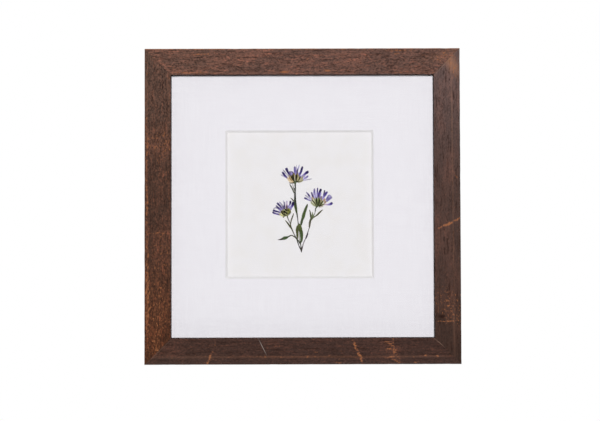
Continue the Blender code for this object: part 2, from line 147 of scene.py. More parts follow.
class StageSettings(bpy.types.PropertyGroup):
    key_power: FloatProperty(
        name="Key Light", description="Power of the soft lamp in front of the frame, in watts", min=0,
        default=61.2,
    )
    fill_strength: FloatProperty(
        name="Fill", description="Strength of the white studio round the frame", min=0, default=0.6,
    )
    floor_drop: length_property("Floor Drop", "How far below the frame's middle the floor is", 2.4)
    floor_colour: colour_property("Floor", "Colour of the plain pale floor", "#ecebea")
    lens: FloatProperty(
        name="Lens", description="Focal length of the camera", subtype="DISTANCE_CAMERA", min=1,
        default=65.09,
    )


class WoodSettings(bpy.types.PropertyGroup):
    arris: length_property("Arris", "Radius of the rails' rubbed edges", 0.8 * MM)
    grain_spacing: length_property("Grain Spacing", "Distance between dark lines of the grain", 1.3 * MM)
    rubbed: colour_property("Rubbed Wood", "Wood where the stain is worn through", "#96603f")
    # The grain colour also paints the shade on the lips' inner sides
    grain: colour_property("Grain", "Dark stain that stays in the grain", "#2b1a14")
    raw: colour_property("Back", "Thinly stained wood on the rails' back", "#8a6748")


class PanelSettings(bpy.types.PropertyGroup):
    mat_face: colour_property("Mat", "Face of the window mat", "#ebe9ee")
    # The core is set darker than the face as painted shade on the bevel
    mat_core: colour_property("Mat Core", "Core of the mat, seen on its bevel", "#e8e6e7")
    paper: colour_property("Paper", "Sheet that the plant lies on", "#e9e7e9")
    board: colour_property("Backing", "Brown hardboard behind the sheet", "#7d5b3c")
    weave: length_property("Mat Weave", "Thread spacing of the mat's linen face", 1.1 * MM)


class MetalSettings(bpy.types.PropertyGroup):
    zinc: colour_property("Zinc", "Zinc plating of the tabs, hanger and nails", "#bcbfc2")
    rubber: colour_property("Pads", "Soft pads at the back's lower corners", "#3a3a3c")


class PlantSettings(bpy.types.PropertyGroup):
    leaf_thickness: length_property("Leaf Thickness", "Thickness of a pressed leaf", 0.14 * MM)
    petal_thickness: length_property("Petal Thickness", "Thickness of a pressed petal", 0.08 * MM)
    stem_flatness: FloatProperty(
        name="Stem Flatness", description="Depth of a pressed stem as a share of its width",
        subtype="FACTOR", min=0.1, max=1, default=0.55,
    )
    vein_spacing: length_property("Vein Spacing", "Distance between a leaf's fine veins", 0.45 * MM)


def settings(group):
    """The scene's values of one of the property groups below."""
    return getattr(bpy.context.scene, f"pressed_flower_{group}")


def fill_inputs(tree, node, inputs):
    """Links a node's inputs to other nodes' outputs, or sets them to plain values."""
    for name, value in inputs.items():
        if isinstance(value, bpy.types.NodeSocket):
            tree.links.new(value, node.inputs[name])
        else:
            node.inputs[name].default_value = value


def add_node(tree, kind, inputs=None, output=0, **options):
    """Adds a node with its options and inputs, and gives the output that is asked for."""
    node = tree.nodes.new(kind)
    for name, value in options.items():
        setattr(node, name, value)
    fill_inputs(tree, node, inputs or {})
    return node.outputs[output] if node.outputs else None


def new_material(name):
    """A material with a bare Principled shader: its tree, and the shader."""
    material = bpy.data.materials.new(name)
    material.use_nodes = True
    tree = material.node_tree
    tree.nodes.clear()
    surface = add_node(tree, "ShaderNodeBsdfPrincipled")
    add_node(tree, "ShaderNodeOutputMaterial", {"Surface": surface})
    return material, tree, surface.node


def blotches(tree, coordinates, size, detail=4.0, seed=(0, 0, 0)):
    """Cloudy noise, about 0.3 to 0.7, whose blotches are size long along each axis."""
    scale = [1 / length for length in size]
    moved = add_node(tree, "ShaderNodeMapping", {"Vector": coordinates, "Scale": scale, "Location": seed})
    inputs = {"Vector": moved, "Scale": 1.0, "Detail": detail, "Roughness": 0.6}
    return add_node(tree, "ShaderNodeTexNoise", inputs)


def lay_over(tree, under, over, mask, start=0.0, end=1.0, most=1.0, mode="MIX"):
    """Lays one colour over another as far as a mask goes from start to end."""
    share = add_node(
        tree, "ShaderNodeMapRange", {"Value": mask, "From Min": start, "From Max": end, "To Max": most},
        interpolation_type="SMOOTHSTEP",
    )
    inputs = {MIX_FACTOR: share}
    for socket, colour in ((MIX_A, under), (MIX_B, over)):
        inputs[socket] = colour if isinstance(colour, bpy.types.NodeSocket) else (*colour, 1)
    return add_node(tree, "ShaderNodeMix", inputs, MIX_RESULT, data_type="RGBA", blend_type=mode)


def finish(tree, shader, tone, roughness, height, relief, specular=0.5):
    """Gives a surface its colour, roughness and shine, and a pattern's bumps, relief metres deep."""
    bumps = add_node(tree, "ShaderNodeBump", {"Height": height, "Distance": relief, "Strength": 1.0})
    inputs = {"Base Color": tone, "Roughness": roughness, "Specular IOR Level": specular, "Normal": bumps}
    fill_inputs(tree, shader, inputs)


def face_place(pixel):
    """The point (x, z) on the rails' front face that a pixel of the photograph shows."""
    return Vector((
        (pixel[0] - FACE_MIDDLE[0]) * FACE_PIXEL,
        (FACE_MIDDLE[1] - pixel[1]) * FACE_PIXEL,
    ))


def sheet_place(pixel):
    """The point on the mount sheet that a pixel of the photograph shows."""
    return Vector((
        (pixel[0] - SHEET_MIDDLE[0]) * SHEET_PIXEL,
        SHEET_FRONT,
        (SHEET_MIDDLE[1] - pixel[1]) * SHEET_PIXEL,
    ))


def new_piece(name, bm, material, slot, *nodes):
    """A finished piece from a bmesh, that stands for its solid nodes and hangs with them."""
    mesh = bpy.data.meshes.new(name)
    bm.to_mesh(mesh)
    bm.free()
    mesh.materials.append(material)
    obj = bpy.data.objects.new(name, mesh)
    bpy.context.scene.collection.objects.link(obj)
    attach(obj, BODY)
    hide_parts(*nodes)
    return obj


def smooth_shading(obj, degrees=35):
    """Shades a piece as smooth, but for edges sharper than an angle."""
    obj.data.shade_smooth()
    obj.data.set_sharp_from_angle(angle=math.radians(degrees))


# Rails

# A mark on a rail: the photograph's pixels that it runs between, its width, how far the stain is gone, and
# over how many millimetres it fades
Mark = namedtuple("Mark", "start end width strength soft")
MARKS = {
    "right": (
        Mark((459.8, 218.4), (452.0, 222.4), 2.0 * MM, 0.85, 0.8),
        Mark((452.0, 222.4), (443.0, 226.4), 3.0 * MM, 0.9, 1.0),
        Mark((443.0, 226.4), (437.0, 229.0), 1.3 * MM, 0.8, 0.6),
        Mark((460, 320.6), (437, 321.6), 1.2 * MM, 0.85, 0.7),
        Mark((442, 297), (454, 316), 27 * MM, 0.4, 7),
        Mark((437, 296.2), (459, 294.6), 1.6 * MM, 0.5, 1.4),
        Mark((437, 301.6), (459, 300.0), 1.8 * MM, 0.52, 1.4),
        Mark((442, 306.4), (459, 305.4), 1.6 * MM, 0.55, 1.4),
        Mark((437, 310.2), (459, 310.8), 1.6 * MM, 0.52, 1.4),
        Mark((446, 315.0), (459, 315.6), 1.6 * MM, 0.55, 1.4),
        Mark((451.5, 52), (452.5, 108), 1.0 * MM, 0.35, 0.8),
        Mark((450, 57), (455, 69), 11.0 * MM, 0.55, 6),
        Mark((453, 171), (458, 179), 1.0 * MM, 0.6, 0.8),
        Mark((446, 262), (446, 290), 20 * MM, 0.25, 6),
    ),
    "bottom": (
        Mark((216.0, 340), (212.5, 350), 1.2 * MM, 0.5, 0.9),
        Mark((212.5, 350), (207.5, 362.5), 2.2 * MM, 0.8, 1.2),
        Mark((351.6, 339), (357, 351), 2.4 * MM, 0.75, 1.4),
        Mark((357, 351), (362, 363), 3.0 * MM, 0.82, 1.6),
        Mark((204, 362), (214, 358), 1.2 * MM, 0.5, 0.9),
        Mark((384.5, 341.2), (390.5, 341.4), 1.1 * MM, 0.75, 0.9),
        Mark((385.0, 343.2), (392.4, 343.6), 1.1 * MM, 0.85, 0.8),
        Mark((387.5, 345.6), (393.0, 345.7), 1.2 * MM, 0.85, 0.9),
        Mark((386.0, 348.2), (392.0, 348.5), 1.2 * MM, 0.8, 0.9),
        Mark((393.0, 345.4), (399.0, 347.0), 1.3 * MM, 0.72, 1.0),
        Mark((393.0, 349.4), (399.0, 350.5), 1.3 * MM, 0.72, 1.0),
        Mark((392.6, 340.0), (393.2, 358.0), 1.3 * MM, 0.72, 0.9),
        Mark((393.0, 359.2), (399.4, 362.6), 4.0 * MM, 0.6, 1.5),
        Mark((390.0, 346.0), (395.0, 360.0), 9.0 * MM, 0.38, 3),
        Mark((381.0, 356.4), (399.0, 356.6), 1.8 * MM, 0.8, 1.0),
        Mark((413.0, 362.4), (417.6, 361.6), 1.4 * MM, 0.65, 1.0),
        Mark((226, 356.2), (381, 356.3), 1.4 * MM, 0.4, 1.0),
        Mark((417.0, 355.8), (430.0, 355.6), 1.6 * MM, 0.55, 1.2),
        Mark((434.6, 356.3), (437.6, 356.3), 2.0 * MM, 0.75, 1.0),
        Mark((334, 362.4), (340, 362.4), 1.2 * MM, 0.8, 0.8),
        Mark((268, 346.5), (288, 346.0), 3.2 * MM, 0.32, 1.4),
        Mark((306, 352), (330, 351), 2.4 * MM, 0.3, 1.2),
    ),
    "left": (
        Mark((161, 134), (160, 153), 22 * MM, 0.4, 6),
        Mark((172, 146.5), (150, 146), 1.2 * MM, 0.6, 0.8),
        Mark((172, 233), (150, 232.5), 1.6 * MM, 0.6, 1.0),
        Mark((160, 234), (160, 284), 24 * MM, 0.3, 6),
        Mark((158, 280), (156, 358), 27 * MM, 0.42, 8),
        Mark((146.6, 60), (146.8, 352), 1.8 * MM, 0.62, 1.0),
        Mark((147, 134), (147, 156), 3.0 * MM, 0.75, 1.4),
        Mark((147, 184), (147, 220), 2.2 * MM, 0.72, 1.2),
        Mark((147.5, 232), (147.5, 352), 3.4 * MM, 0.72, 1.6),
        Mark((169, 136), (169, 148), 1.2 * MM, 0.7, 0.8),
    ),
    "top": (
        Mark((190, 54), (214, 53), 3.4 * MM, 0.5, 1.5),
        Mark((171, 72.2), (212, 72.0), 1.6 * MM, 0.65, 0.9),
        Mark((240, 72.4), (262, 72.4), 1.4 * MM, 0.55, 0.8),
        Mark((281, 71.6), (289, 71.4), 2.2 * MM, 0.95, 0.8),
        Mark((325, 70.4), (330, 70.2), 2.0 * MM, 0.85, 0.8),
        Mark((382, 50.4), (417, 50.2), 1.2 * MM, 0.65, 0.8),
        Mark((392, 54), (408, 53), 1.8 * MM, 0.5, 1.0),
        Mark((436, 60), (452, 52), 11 * MM, 0.5, 6),
        Mark((300, 64), (316, 53), 1.4 * MM, 0.4, 1.0),
    ),
}
# Lines in a colour of their own: a pale scratch, the pale joints at the mitres and softly rubbed ridges
LINES = {
    "bottom": (
        (Mark((150, 356.4), (232, 356.2), 4.2 * MM, 0.26, 2.0), "#7a5a4b"),
        (Mark((226, 356.2), (384, 356.3), 1.8 * MM, 0.3, 1.3), "#83583f"),
        (Mark((384, 356.2), (454, 355.9), 1.8 * MM, 0.3, 1.3), "#805d4e"),
        (Mark((259.4, 340.6), (265.2, 352.2), 0.5 * MM, 0.7, 0.3), "#a59a94"),
        (Mark((436.5, 340.8), (454.0, 354.8), 0.7 * MM, 0.6, 0.5), "#947767"),
        (Mark((146, 363), (169, 341), 0.6 * MM, 0.35, 0.4), "#8b6a58"),
    ),
    "right": (
        (Mark((451.6, 52), (452.6, 150), 1.0 * MM, 0.27, 0.9), "#9d7862"),
        (Mark((452.4, 150), (453.4, 290), 0.9 * MM, 0.22, 0.8), "#966c52"),
        (Mark((452.5, 300), (454.0, 355), 2.6 * MM, 0.3, 1.6), "#805d4e"),
        (Mark((436, 74), (458, 50), 0.7 * MM, 0.4, 0.5), "#a07e68"),
        (Mark((449, 57), (456, 70), 9.0 * MM, 0.5, 6), "#9c7055"),
    ),
    "top": (
        (Mark((150, 56), (171, 76), 0.7 * MM, 0.3, 0.5), "#a58470"),
        (Mark((430, 58), (456, 52), 7.0 * MM, 0.25, 5), "#8f6b58"),
    ),
    "left": (
        (Mark((147, 52), (147, 128), 1.6 * MM, 0.2, 1.2), "#9a7358"),
        (Mark((146, 363), (169, 341), 0.7 * MM, 0.4, 0.5), "#93684c"),
    ),
}
# A small dark knot on the right rail
KNOT = Mark((438.6, 316.2), (442.6, 316.2), 3.4 * MM, 0.85, 1.4)

# Each rail's tone at its start, middle and end, along the direction that its turned pattern runs, how
# strongly its blotches show, and how far its sight edge, band line, outer edge and face are rubbed. The
# tones are the stain with painted light in them: the top rail and the side rails' upper ends lighter, the
# bottom rail darker, and a greyish painted sheen at the right rail's upper end
StainAndLight = namedtuple("StainAndLight", "start middle end contrast edges patina")
STAINS_AND_LIGHT = {
    "bottom": StainAndLight("#402f29", "#402f2a", "#3f2e29", 0.6, (0.15, 0.3, 0.3), 0.1),
    "left": StainAndLight("#54423a", "#46342c", "#492e1f", 0.85, (0.3, 0.15, 0.5), 0.12),
    "top": StainAndLight("#5d4740", "#5d4740", "#5f483f", 0.75, (0.35, 0.3, 0.75), 0.2),
    "right": StainAndLight("#3b2c26", "#4b3a35", "#5e4d4a", 0.3, (0.2, 0.28, 0.25), 0.08),
}


def rail_section():
    """The rail's corners as (depth, height, edge radius), for the bottom rail seen from its left end."""
    arris = settings("wood").arris
    lip_back = FRONT + LIP_THICKNESS
    return (
        (FRONT, -SIGHT_HALF, arris / 2),
        (lip_back, -SIGHT_HALF, 0.3 * MM),
        (lip_back, -RABBET_HALF, 0),
        (RAIL_BACK, -RABBET_HALF, 0.4 * MM),
        (RAIL_BACK, -OUTER_HALF, 0.7 * MM),
        (FRONT + BAND_DROP, -OUTER_HALF, arris),
        (FRONT, -OUTER_HALF + BAND_WIDTH, 0.6 * MM),
    )


def runs_along(edge, depth, height):
    """Whether a rail's long edge lies at that depth and height."""
    near = 0.01 * MM
    return all(abs(v.co.y - depth) < near and abs(v.co.z - height) < near for v in edge.verts)


def rail_mesh(quarter):
    """A mitred rail with rounded, slightly dented edges, turned to its side of the frame."""
    section = rail_section()
    bm = bmesh.new()
    corners = [bm.verts.new((-OUTER_HALF, depth, height)) for depth, height, radius in section]
    end = bm.faces.new(corners)
    made = bmesh.ops.extrude_face_region(bm, geom=[end])["geom"]
    far = [item for item in made if isinstance(item, bmesh.types.BMVert)]
    bmesh.ops.translate(bm, verts=far, vec=(2 * OUTER_HALF, 0, 0))
    for side in (-1, 1):
        bmesh.ops.bisect_plane(
            bm, geom=bm.verts[:] + bm.edges[:] + bm.faces[:], plane_co=(0, 0, -MITRE_GAP),
            plane_no=(side, 0, 1), clear_outer=True,
        )
        bmesh.ops.holes_fill(bm, edges=[e for e in bm.edges if e.is_boundary], sides=0)
    for depth, height, radius in section:
        edges = [e for e in bm.edges if runs_along(e, depth, height)]
        if radius:
            bmesh.ops.bevel(
                bm, geom=edges, offset=radius, offset_type="OFFSET", affect="EDGES", segments=4,
                profile=0.5, material=-1,
            )
    bmesh.ops.recalc_face_normals(bm, faces=bm.faces)
    long_edges = [e for e in bm.edges if abs(e.verts[0].co.x - e.verts[1].co.x) > OUTER_HALF]
    bmesh.ops.subdivide_edges(bm, edges=long_edges, cuts=RAIL_STATIONS, use_grid_fill=True)
    wear_edges(bm, quarter)
    bmesh.ops.transform(bm, matrix=Matrix.Rotation(quarter * math.pi / 2, 4, "Y"), verts=bm.verts)
    return bm


def wear_edges(bm, seed):
    """Presses small dents into the front edges, and leaves the mitres and the flat faces as they are."""
    dent_depth = 0.22 * MM
    dent_length = 7 * MM
    edge_width = 1.2 * MM
    whole_mitre = 1.5 * MM
    bm.normal_update()
    moves = []
    for vert in bm.verts:
        at = vert.co
        to_mitre = -at.z - abs(at.x)
        across = -at.z - SIGHT_HALF
        near_edge = max(1 - abs(across - place) / edge_width for place in (0, BAND_AT, RAIL_WIDTH))
        if to_mitre < whole_mitre or near_edge <= 0 or at.y > FRONT + LIP_THICKNESS / 2:
            continue
        depth = noise.noise(Vector((at.x / dent_length, at.z / (2 * dent_length), seed * 7.3)))
        moves.append((vert, vert.normal * -max(0.0, depth) * dent_depth * near_edge))
    for vert, move in moves:
        vert.co += move


def stroke(tree, place, mark, quarter):
    """How strongly a mark covers a place: most along its middle line, thinning out towards its ends."""
    turn = Matrix.Rotation(-quarter * math.pi / 2, 3, "Y")
    ends = []
    for pixel in (mark.start, mark.end):
        x, z = face_place(pixel)
        ends.append(turn @ Vector((x, 0, z)))
    run = ends[1] - ends[0]
    half_width = mark.width / 2
    half_length = run.length / 2 + half_width
    # In the mark's own frame its edge is an ellipse of radius 1
    inputs = {
        "Vector": place,
        "Location": (ends[0] + ends[1]) / 2,
        "Rotation": (0, -math.atan2(run.z, run.x), 0),
        "Scale": (half_length, 1, half_width),
    }
    own = add_node(tree, "ShaderNodeMapping", inputs, vector_type="TEXTURE")
    own = add_node(tree, "ShaderNodeVectorMath", {0: own, 1: (1, 0, 1)}, operation="MULTIPLY")
    radius = add_node(tree, "ShaderNodeVectorMath", {0: own}, 1, operation="LENGTH")
    margin = mark.soft * MM / half_width
    inputs = {
        "Value": radius, "From Min": 1 + margin, "From Max": max(0, 1 - margin), "To Max": mark.strength,
    }
    return add_node(tree, "ShaderNodeMapRange", inputs, interpolation_type="SMOOTHSTEP")


def rail_pattern(tree, quarter):
    """Places for a rail's pattern, turned so that its grain runs along local X: plain, and wandering."""
    coordinates = add_node(tree, "ShaderNodeTexCoord").node.outputs["Object"]
    level = (0, -quarter * math.pi / 2, 0)
    turned = add_node(tree, "ShaderNodeMapping", {"Vector": coordinates, "Rotation": level})
    reach = 3 * MM
    wander = blotches(tree, turned, (7 * MM, 4 * MM, 4 * MM), 2)
    wander = add_node(tree, "ShaderNodeMath", {0: wander, 1: reach, 2: -reach / 2}, operation="MULTIPLY_ADD")
    wandered = add_node(tree, "ShaderNodeVectorMath", {0: turned, 1: wander}, operation="ADD")
    return turned, wandered


def stain_and_light_tone(tree, stain, turned, wandered, along, seed):
    """The wiped stain with painted light in its tones: its colour, and the grain and pores that it settles
    in.
    """
    wood = settings("wood")
    spacing = wood.grain_spacing
    grain = blotches(tree, wandered, (22 * MM, spacing, spacing), 5, seed)
    streaks = blotches(tree, wandered, (15 * MM, 1.5 * MM, 1.5 * MM), 4, (seed[0] + 9, seed[1], seed[2]))
    mottle = blotches(tree, turned, (4.6 * MM, 1.5 * MM, 1.5 * MM), 5, seed)
    fine = blotches(tree, turned, (1.7 * MM, 1.0 * MM, 1.0 * MM), 3, (seed[0], seed[1] + 7, seed[2]))
    pores = blotches(tree, turned, (2.4 * MM, 0.8 * MM, 0.8 * MM), 2, seed)
    cloud = blotches(tree, turned, (42 * MM, 14 * MM, 14 * MM), 3, seed)

    dark = tuple(wood.grain)
    redder = (1.9, 1.55, 1.4)
    strong = stain.contrast
    mild = strong * 0.7
    # The tones along and between the rails hold painted light: lighter towards the frame's top, darker at its
    # bottom
    tone = lay_over(tree, linear(stain.start), linear(stain.middle), along, -OUTER_HALF, 0)
    tone = lay_over(tree, tone, linear(stain.end), along, 0, OUTER_HALF)
    tone = lay_over(tree, tone, redder, cloud, 0.42, 0.7, 0.4, "MULTIPLY")
    tone = lay_over(tree, tone, redder, streaks, 0.5, 0.72, strong, "MULTIPLY")
    tone = lay_over(tree, tone, redder, mottle, 0.52, 0.72, mild, "MULTIPLY")
    tone = lay_over(tree, tone, dark, mottle, 0.47, 0.3, mild)
    tone = lay_over(tree, tone, redder, fine, 0.5, 0.68, strong, "MULTIPLY")
    tone = lay_over(tree, tone, dark, fine, 0.48, 0.32, strong)
    tone = lay_over(tree, tone, dark, grain, 0.49, 0.33, 0.75)
    tone = lay_over(tree, tone, dark, pores, 0.42, 0.28, 0.5)
    return tone, grain, pores


def rail_wear(tree, side, quarter, wandered, section):
    """How thin a rail's stain is worn, by its patina, along its front edges and in its marks."""
    stain = STAINS_AND_LIGHT[side]
    worn = stain.patina
    corners = ((1.5 * MM, FRONT), (BAND_AT, FRONT), (RAIL_WIDTH, FRONT + BAND_DROP))
    for corner, strength in zip(corners, stain.edges):
        away = add_node(tree, "ShaderNodeVectorMath", {0: section, 1: (*corner, 0)}, 1, operation="DISTANCE")
        inputs = {"Value": away, "From Min": 1.6 * MM, "From Max": 0.4 * MM, "To Max": strength}
        edge = add_node(tree, "ShaderNodeMapRange", inputs, interpolation_type="SMOOTHSTEP")
        worn = add_node(tree, "ShaderNodeMath", {0: worn, 1: edge}, operation="MAXIMUM")
    for mark in MARKS[side]:
        inputs = {0: worn, 1: stroke(tree, wandered, mark, quarter)}
        worn = add_node(tree, "ShaderNodeMath", inputs, operation="MAXIMUM")
    return worn


def bare_patches(tree, worn, turned, depth, seed):
    """Where the wood shows: wear breaks up over the grain, and stops behind the front edges, where neither
    a hand nor a cloth reaches."""
    breaks = blotches(tree, turned, (2.6 * MM, 1.3 * MM, 1.3 * MM), 4, (seed[0], seed[1] + 4, seed[2]))
    broken = add_node(tree, "ShaderNodeMath", {0: breaks, 1: 2.4, 2: worn}, operation="MULTIPLY_ADD")
    inputs = {"Value": depth, "From Min": FRONT + 3 * MM, "From Max": FRONT + 2.4 * MM}
    reach = add_node(tree, "ShaderNodeMapRange", inputs)
    broken = add_node(tree, "ShaderNodeMath", {0: broken, 1: reach}, operation="MULTIPLY")
    inputs = {"Value": broken, "From Min": 1.6, "From Max": 2.15}
    return add_node(tree, "ShaderNodeMapRange", inputs, interpolation_type="SMOOTHSTEP")


def stained_wood(side, quarter):
    """Walnut stain wiped on softwood, with a thin satin wax: dark lines stay in the grain, and the orange
    wood shows where edges and scratches are rubbed. Painted light makes the rails lighter towards the frame's
    top, and painted shade darkens the lip's inner side."""
    wood = settings("wood")
    dark = tuple(wood.grain)
    material, tree, shader = new_material(f"walnut stained softwood, {side} rail")
    turned, wandered = rail_pattern(tree, quarter)
    parts = add_node(tree, "ShaderNodeSeparateXYZ", {"Vector": turned}).node.outputs
    depth = parts["Y"]
    inputs = {0: parts["Z"], 1: -1.0, 2: -SIGHT_HALF}
    across = add_node(tree, "ShaderNodeMath", inputs, operation="MULTIPLY_ADD")
    section = add_node(tree, "ShaderNodeCombineXYZ", {"X": across, "Y": depth})
    seed = (quarter * 3.7, quarter * 1.9, quarter * 5.1)

    tone, grain, pores = stain_and_light_tone(tree, STAINS_AND_LIGHT[side], turned, wandered, parts["X"], seed)
    worn = rail_wear(tree, side, quarter, wandered, section)
    tone = lay_over(tree, tone, (2.0, 1.65, 1.5), worn, 0.1, 1.0, 0.6, "MULTIPLY")
    rubbed = bare_patches(tree, worn, turned, depth, seed)
    tone = lay_over(tree, tone, tuple(wood.rubbed), rubbed, 0, 1, 0.9)
    # The lip's inner side, round its middle line, is painted dark as shade, and has no wax
    lip_middle = (0, FRONT + LIP_THICKNESS / 2, 0)
    lip = add_node(tree, "ShaderNodeVectorMath", {0: section, 1: lip_middle}, 1, operation="DISTANCE")
    lip_inside = 3.1 * MM
    lip_outside = 3.6 * MM
    tone = lay_over(tree, tone, dark, lip, lip_outside, lip_inside, 0.9)
    for mark, code in LINES[side]:
        tone = lay_over(tree, tone, linear(code), stroke(tree, turned, mark, quarter))
    if side == "right":
        tone = lay_over(tree, tone, linear("#2a1914"), stroke(tree, wandered, KNOT, quarter))
    bare = lay_over(tree, linear("#5d4431"), tuple(wood.raw), grain, 0.35, 0.65)
    tone = lay_over(tree, tone, bare, depth, RAIL_BACK - 3 * MM, RAIL_BACK - 0.2 * MM, 0.8)

    dulled = add_node(tree, "ShaderNodeMapRange", {"Value": rubbed, "To Min": 0.5, "To Max": 0.68})
    inputs = {"Value": lip, "From Min": lip_inside, "From Max": lip_outside, "To Min": 0.02, "To Max": 0.35}
    waxed = add_node(tree, "ShaderNodeMapRange", inputs)
    lines = add_node(tree, "ShaderNodeBump", {"Height": grain, "Distance": 0.25 * MM, "Strength": 1.0})
    inputs = {"Height": pores, "Distance": 0.12 * MM, "Strength": 1.0, "Normal": lines}
    pits = add_node(tree, "ShaderNodeBump", inputs)
    fill_inputs(tree, shader, {
        "Base Color": tone, "Roughness": dulled, "IOR": 1.5, "Specular IOR Level": waxed, "Normal": pits,
    })
    return material


# Panels and back

def float_glass():
    """Clear soda-lime float glass: it lets the lamps through, and shows only a faint reflection."""
    material, tree, shader = new_material("clear float glass")
    clear_glass = {"Base Color": (1, 1, 1, 1), "Roughness": 0, "IOR": 1.5, "Transmission Weight": 1}
    fill_inputs(tree, shader, clear_glass)
    path = add_node(tree, "ShaderNodeLightPath").node.outputs
    inputs = {0: path["Is Shadow Ray"], 1: path["Is Diffuse Ray"]}
    lets_through = add_node(tree, "ShaderNodeMath", inputs, operation="MAXIMUM")
    clear = add_node(tree, "ShaderNodeBsdfTransparent", {"Color": (1, 1, 1, 1)})
    mixed = add_node(tree, "ShaderNodeMixShader", {0: lets_through, 1: shader.outputs[0], 2: clear})
    fill_inputs(tree, tree.nodes["Material Output"], {"Surface": mixed})
    return material


def linen_mat_board():
    """White mat board pressed with a fine linen face, cut at 45 degrees to show its core: warmer than the
    face by its own tint, and darker as painted shade on the bevel.
    """
    panel = settings("panel")
    material, tree, shader = new_material("linen faced mat board")
    coordinates = add_node(tree, "ShaderNodeTexCoord").node.outputs["Object"]
    thread = panel.weave
    upright = blotches(tree, coordinates, (thread, thread, 26 * MM), 2)
    level = blotches(tree, coordinates, (26 * MM, thread, thread), 2)
    fibre = blotches(tree, coordinates, (0.35 * MM,) * 3, 3)
    weave = add_node(tree, "ShaderNodeMath", {0: upright, 1: level}, operation="ADD")
    depth = add_node(tree, "ShaderNodeSeparateXYZ", {"Vector": coordinates}).node.outputs["Y"]
    shaded = (0.965, 0.96, 0.965)
    face = lay_over(tree, tuple(panel.mat_face), shaded, weave, 1.2, 0.8, mode="MULTIPLY")
    # The bevel shows the core colour, darkened as painted shade
    tone = lay_over(tree, face, tuple(panel.mat_core), depth, MAT_FRONT + 0.04 * MM, MAT_FRONT + 0.12 * MM)
    height = add_node(tree, "ShaderNodeMath", {0: fibre, 1: 0.3, 2: weave}, operation="MULTIPLY_ADD")
    finish(tree, shader, tone, 0.88, height, 0.05 * MM, specular=0.25)
    return material


def rag_paper():
    """Smooth cotton rag paper: matte, with faint short fibres and slightly warmer clouds."""
    panel = settings("panel")
    material, tree, shader = new_material("cotton rag paper")
    coordinates = add_node(tree, "ShaderNodeTexCoord").node.outputs["Object"]
    fibre = blotches(tree, coordinates, (0.5 * MM,) * 3)
    cloud = blotches(tree, coordinates, (16 * MM,) * 3, 3)
    warmer = (0.985, 0.98, 0.965)
    tone = lay_over(tree, tuple(panel.paper), warmer, cloud, 0.4, 0.65, mode="MULTIPLY")
    finish(tree, shader, tone, 0.92, fibre, 0.03 * MM, specular=0.2)
    return material


def hardboard():
    """Pressed brown wood fibre: flecked with darker and paler fibres."""
    panel = settings("panel")
    material, tree, shader = new_material("pressed hardboard")
    coordinates = add_node(tree, "ShaderNodeTexCoord").node.outputs["Object"]
    fleck = blotches(tree, coordinates, (1.6 * MM, 1.6 * MM, 0.8 * MM), 5)
    cloud = blotches(tree, coordinates, (30 * MM,) * 3, 3)
    tone = lay_over(tree, tuple(panel.board), linear("#92704d"), cloud, 0.35, 0.65)
    tone = lay_over(tree, tone, linear("#4c3321"), fleck, 0.48, 0.36, 0.8)
    tone = lay_over(tree, tone, linear("#b08d66"), fleck, 0.6, 0.72, 0.5)
    finish(tree, shader, tone, 0.7, fleck, 0.08 * MM)
    return material


def zinc_plate():
    """Bright zinc on mild steel: a cool grey metal with fine rolling lines and dull spots."""
    material, tree, shader = new_material("zinc plated mild steel")
    coordinates = add_node(tree, "ShaderNodeTexCoord").node.outputs["Object"]
    lines = blotches(tree, coordinates, (6 * MM, 0.3 * MM, 0.25 * MM), 3)
    spots = blotches(tree, coordinates, (2.5 * MM,) * 3)
    tone = lay_over(tree, tuple(settings("metal").zinc), linear("#8d9092"), spots, 0.5, 0.7, 0.5)
    inputs = {"Value": spots, "From Min": 0.35, "From Max": 0.65, "To Min": 0.28, "To Max": 0.45}
    dulled = add_node(tree, "ShaderNodeMapRange", inputs)
    shader.inputs["Metallic"].default_value = 1
    finish(tree, shader, tone, dulled, lines, 0.01 * MM)
    return material


def soft_rubber():
    """Moulded soft rubber: dark grey and dull, with a fine dusty grain."""
    material, tree, shader = new_material("moulded soft rubber")
    coordinates = add_node(tree, "ShaderNodeTexCoord").node.outputs["Object"]
    dust = blotches(tree, coordinates, (0.8 * MM,) * 3)
    tone = lay_over(tree, tuple(settings("metal").rubber), linear("#6a6a6a"), dust, 0.5, 0.7, 0.35)
    finish(tree, shader, tone, 0.8, dust, 0.04 * MM)
    return material


def softened_copy(node, name, material, slot, width):
    """A merged copy of a solid node with its sharp edges rounded."""
    bm = bmesh.new()
    bm.from_mesh(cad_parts[node].data)
    bmesh.ops.remove_doubles(bm, verts=bm.verts, dist=MERGE_DISTANCE)
    bmesh.ops.dissolve_limit(bm, angle_limit=math.radians(1), verts=bm.verts, edges=bm.edges)
    sharp = [e for e in bm.edges if e.is_manifold and e.calc_face_angle(0) > math.radians(30)]
    bmesh.ops.bevel(
        bm, geom=sharp, offset=width, offset_type="OFFSET", affect="EDGES", segments=2, profile=0.5,
        material=-1, clamp_overlap=True,
    )
    smooth_shading(new_piece(name, bm, material, slot, node))


def turned_disc(node, name, material, slot, profile, segments=48):
    """A round piece about the node's own axis along Y: profile is (radius, depth) pairs, front to back."""
    low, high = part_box(node)
    centre = (low + high) / 2
    bm = bmesh.new()
    verts = [bm.verts.new((centre.x + radius, depth, centre.z)) for radius, depth in profile]
    edges = [bm.edges.new(pair) for pair in zip(verts, verts[1:])]
    bmesh.ops.spin(
        bm, geom=verts + edges, cent=(centre.x, 0, centre.z), axis=(0, 1, 0), dvec=(0, 0, 0),
        angle=2 * math.pi, steps=segments, use_merge=True,
    )
    bmesh.ops.remove_doubles(bm, verts=bm.verts, dist=MERGE_DISTANCE)
    bmesh.ops.recalc_face_normals(bm, faces=bm.faces)
    smooth_shading(new_piece(name, bm, material, slot, node))


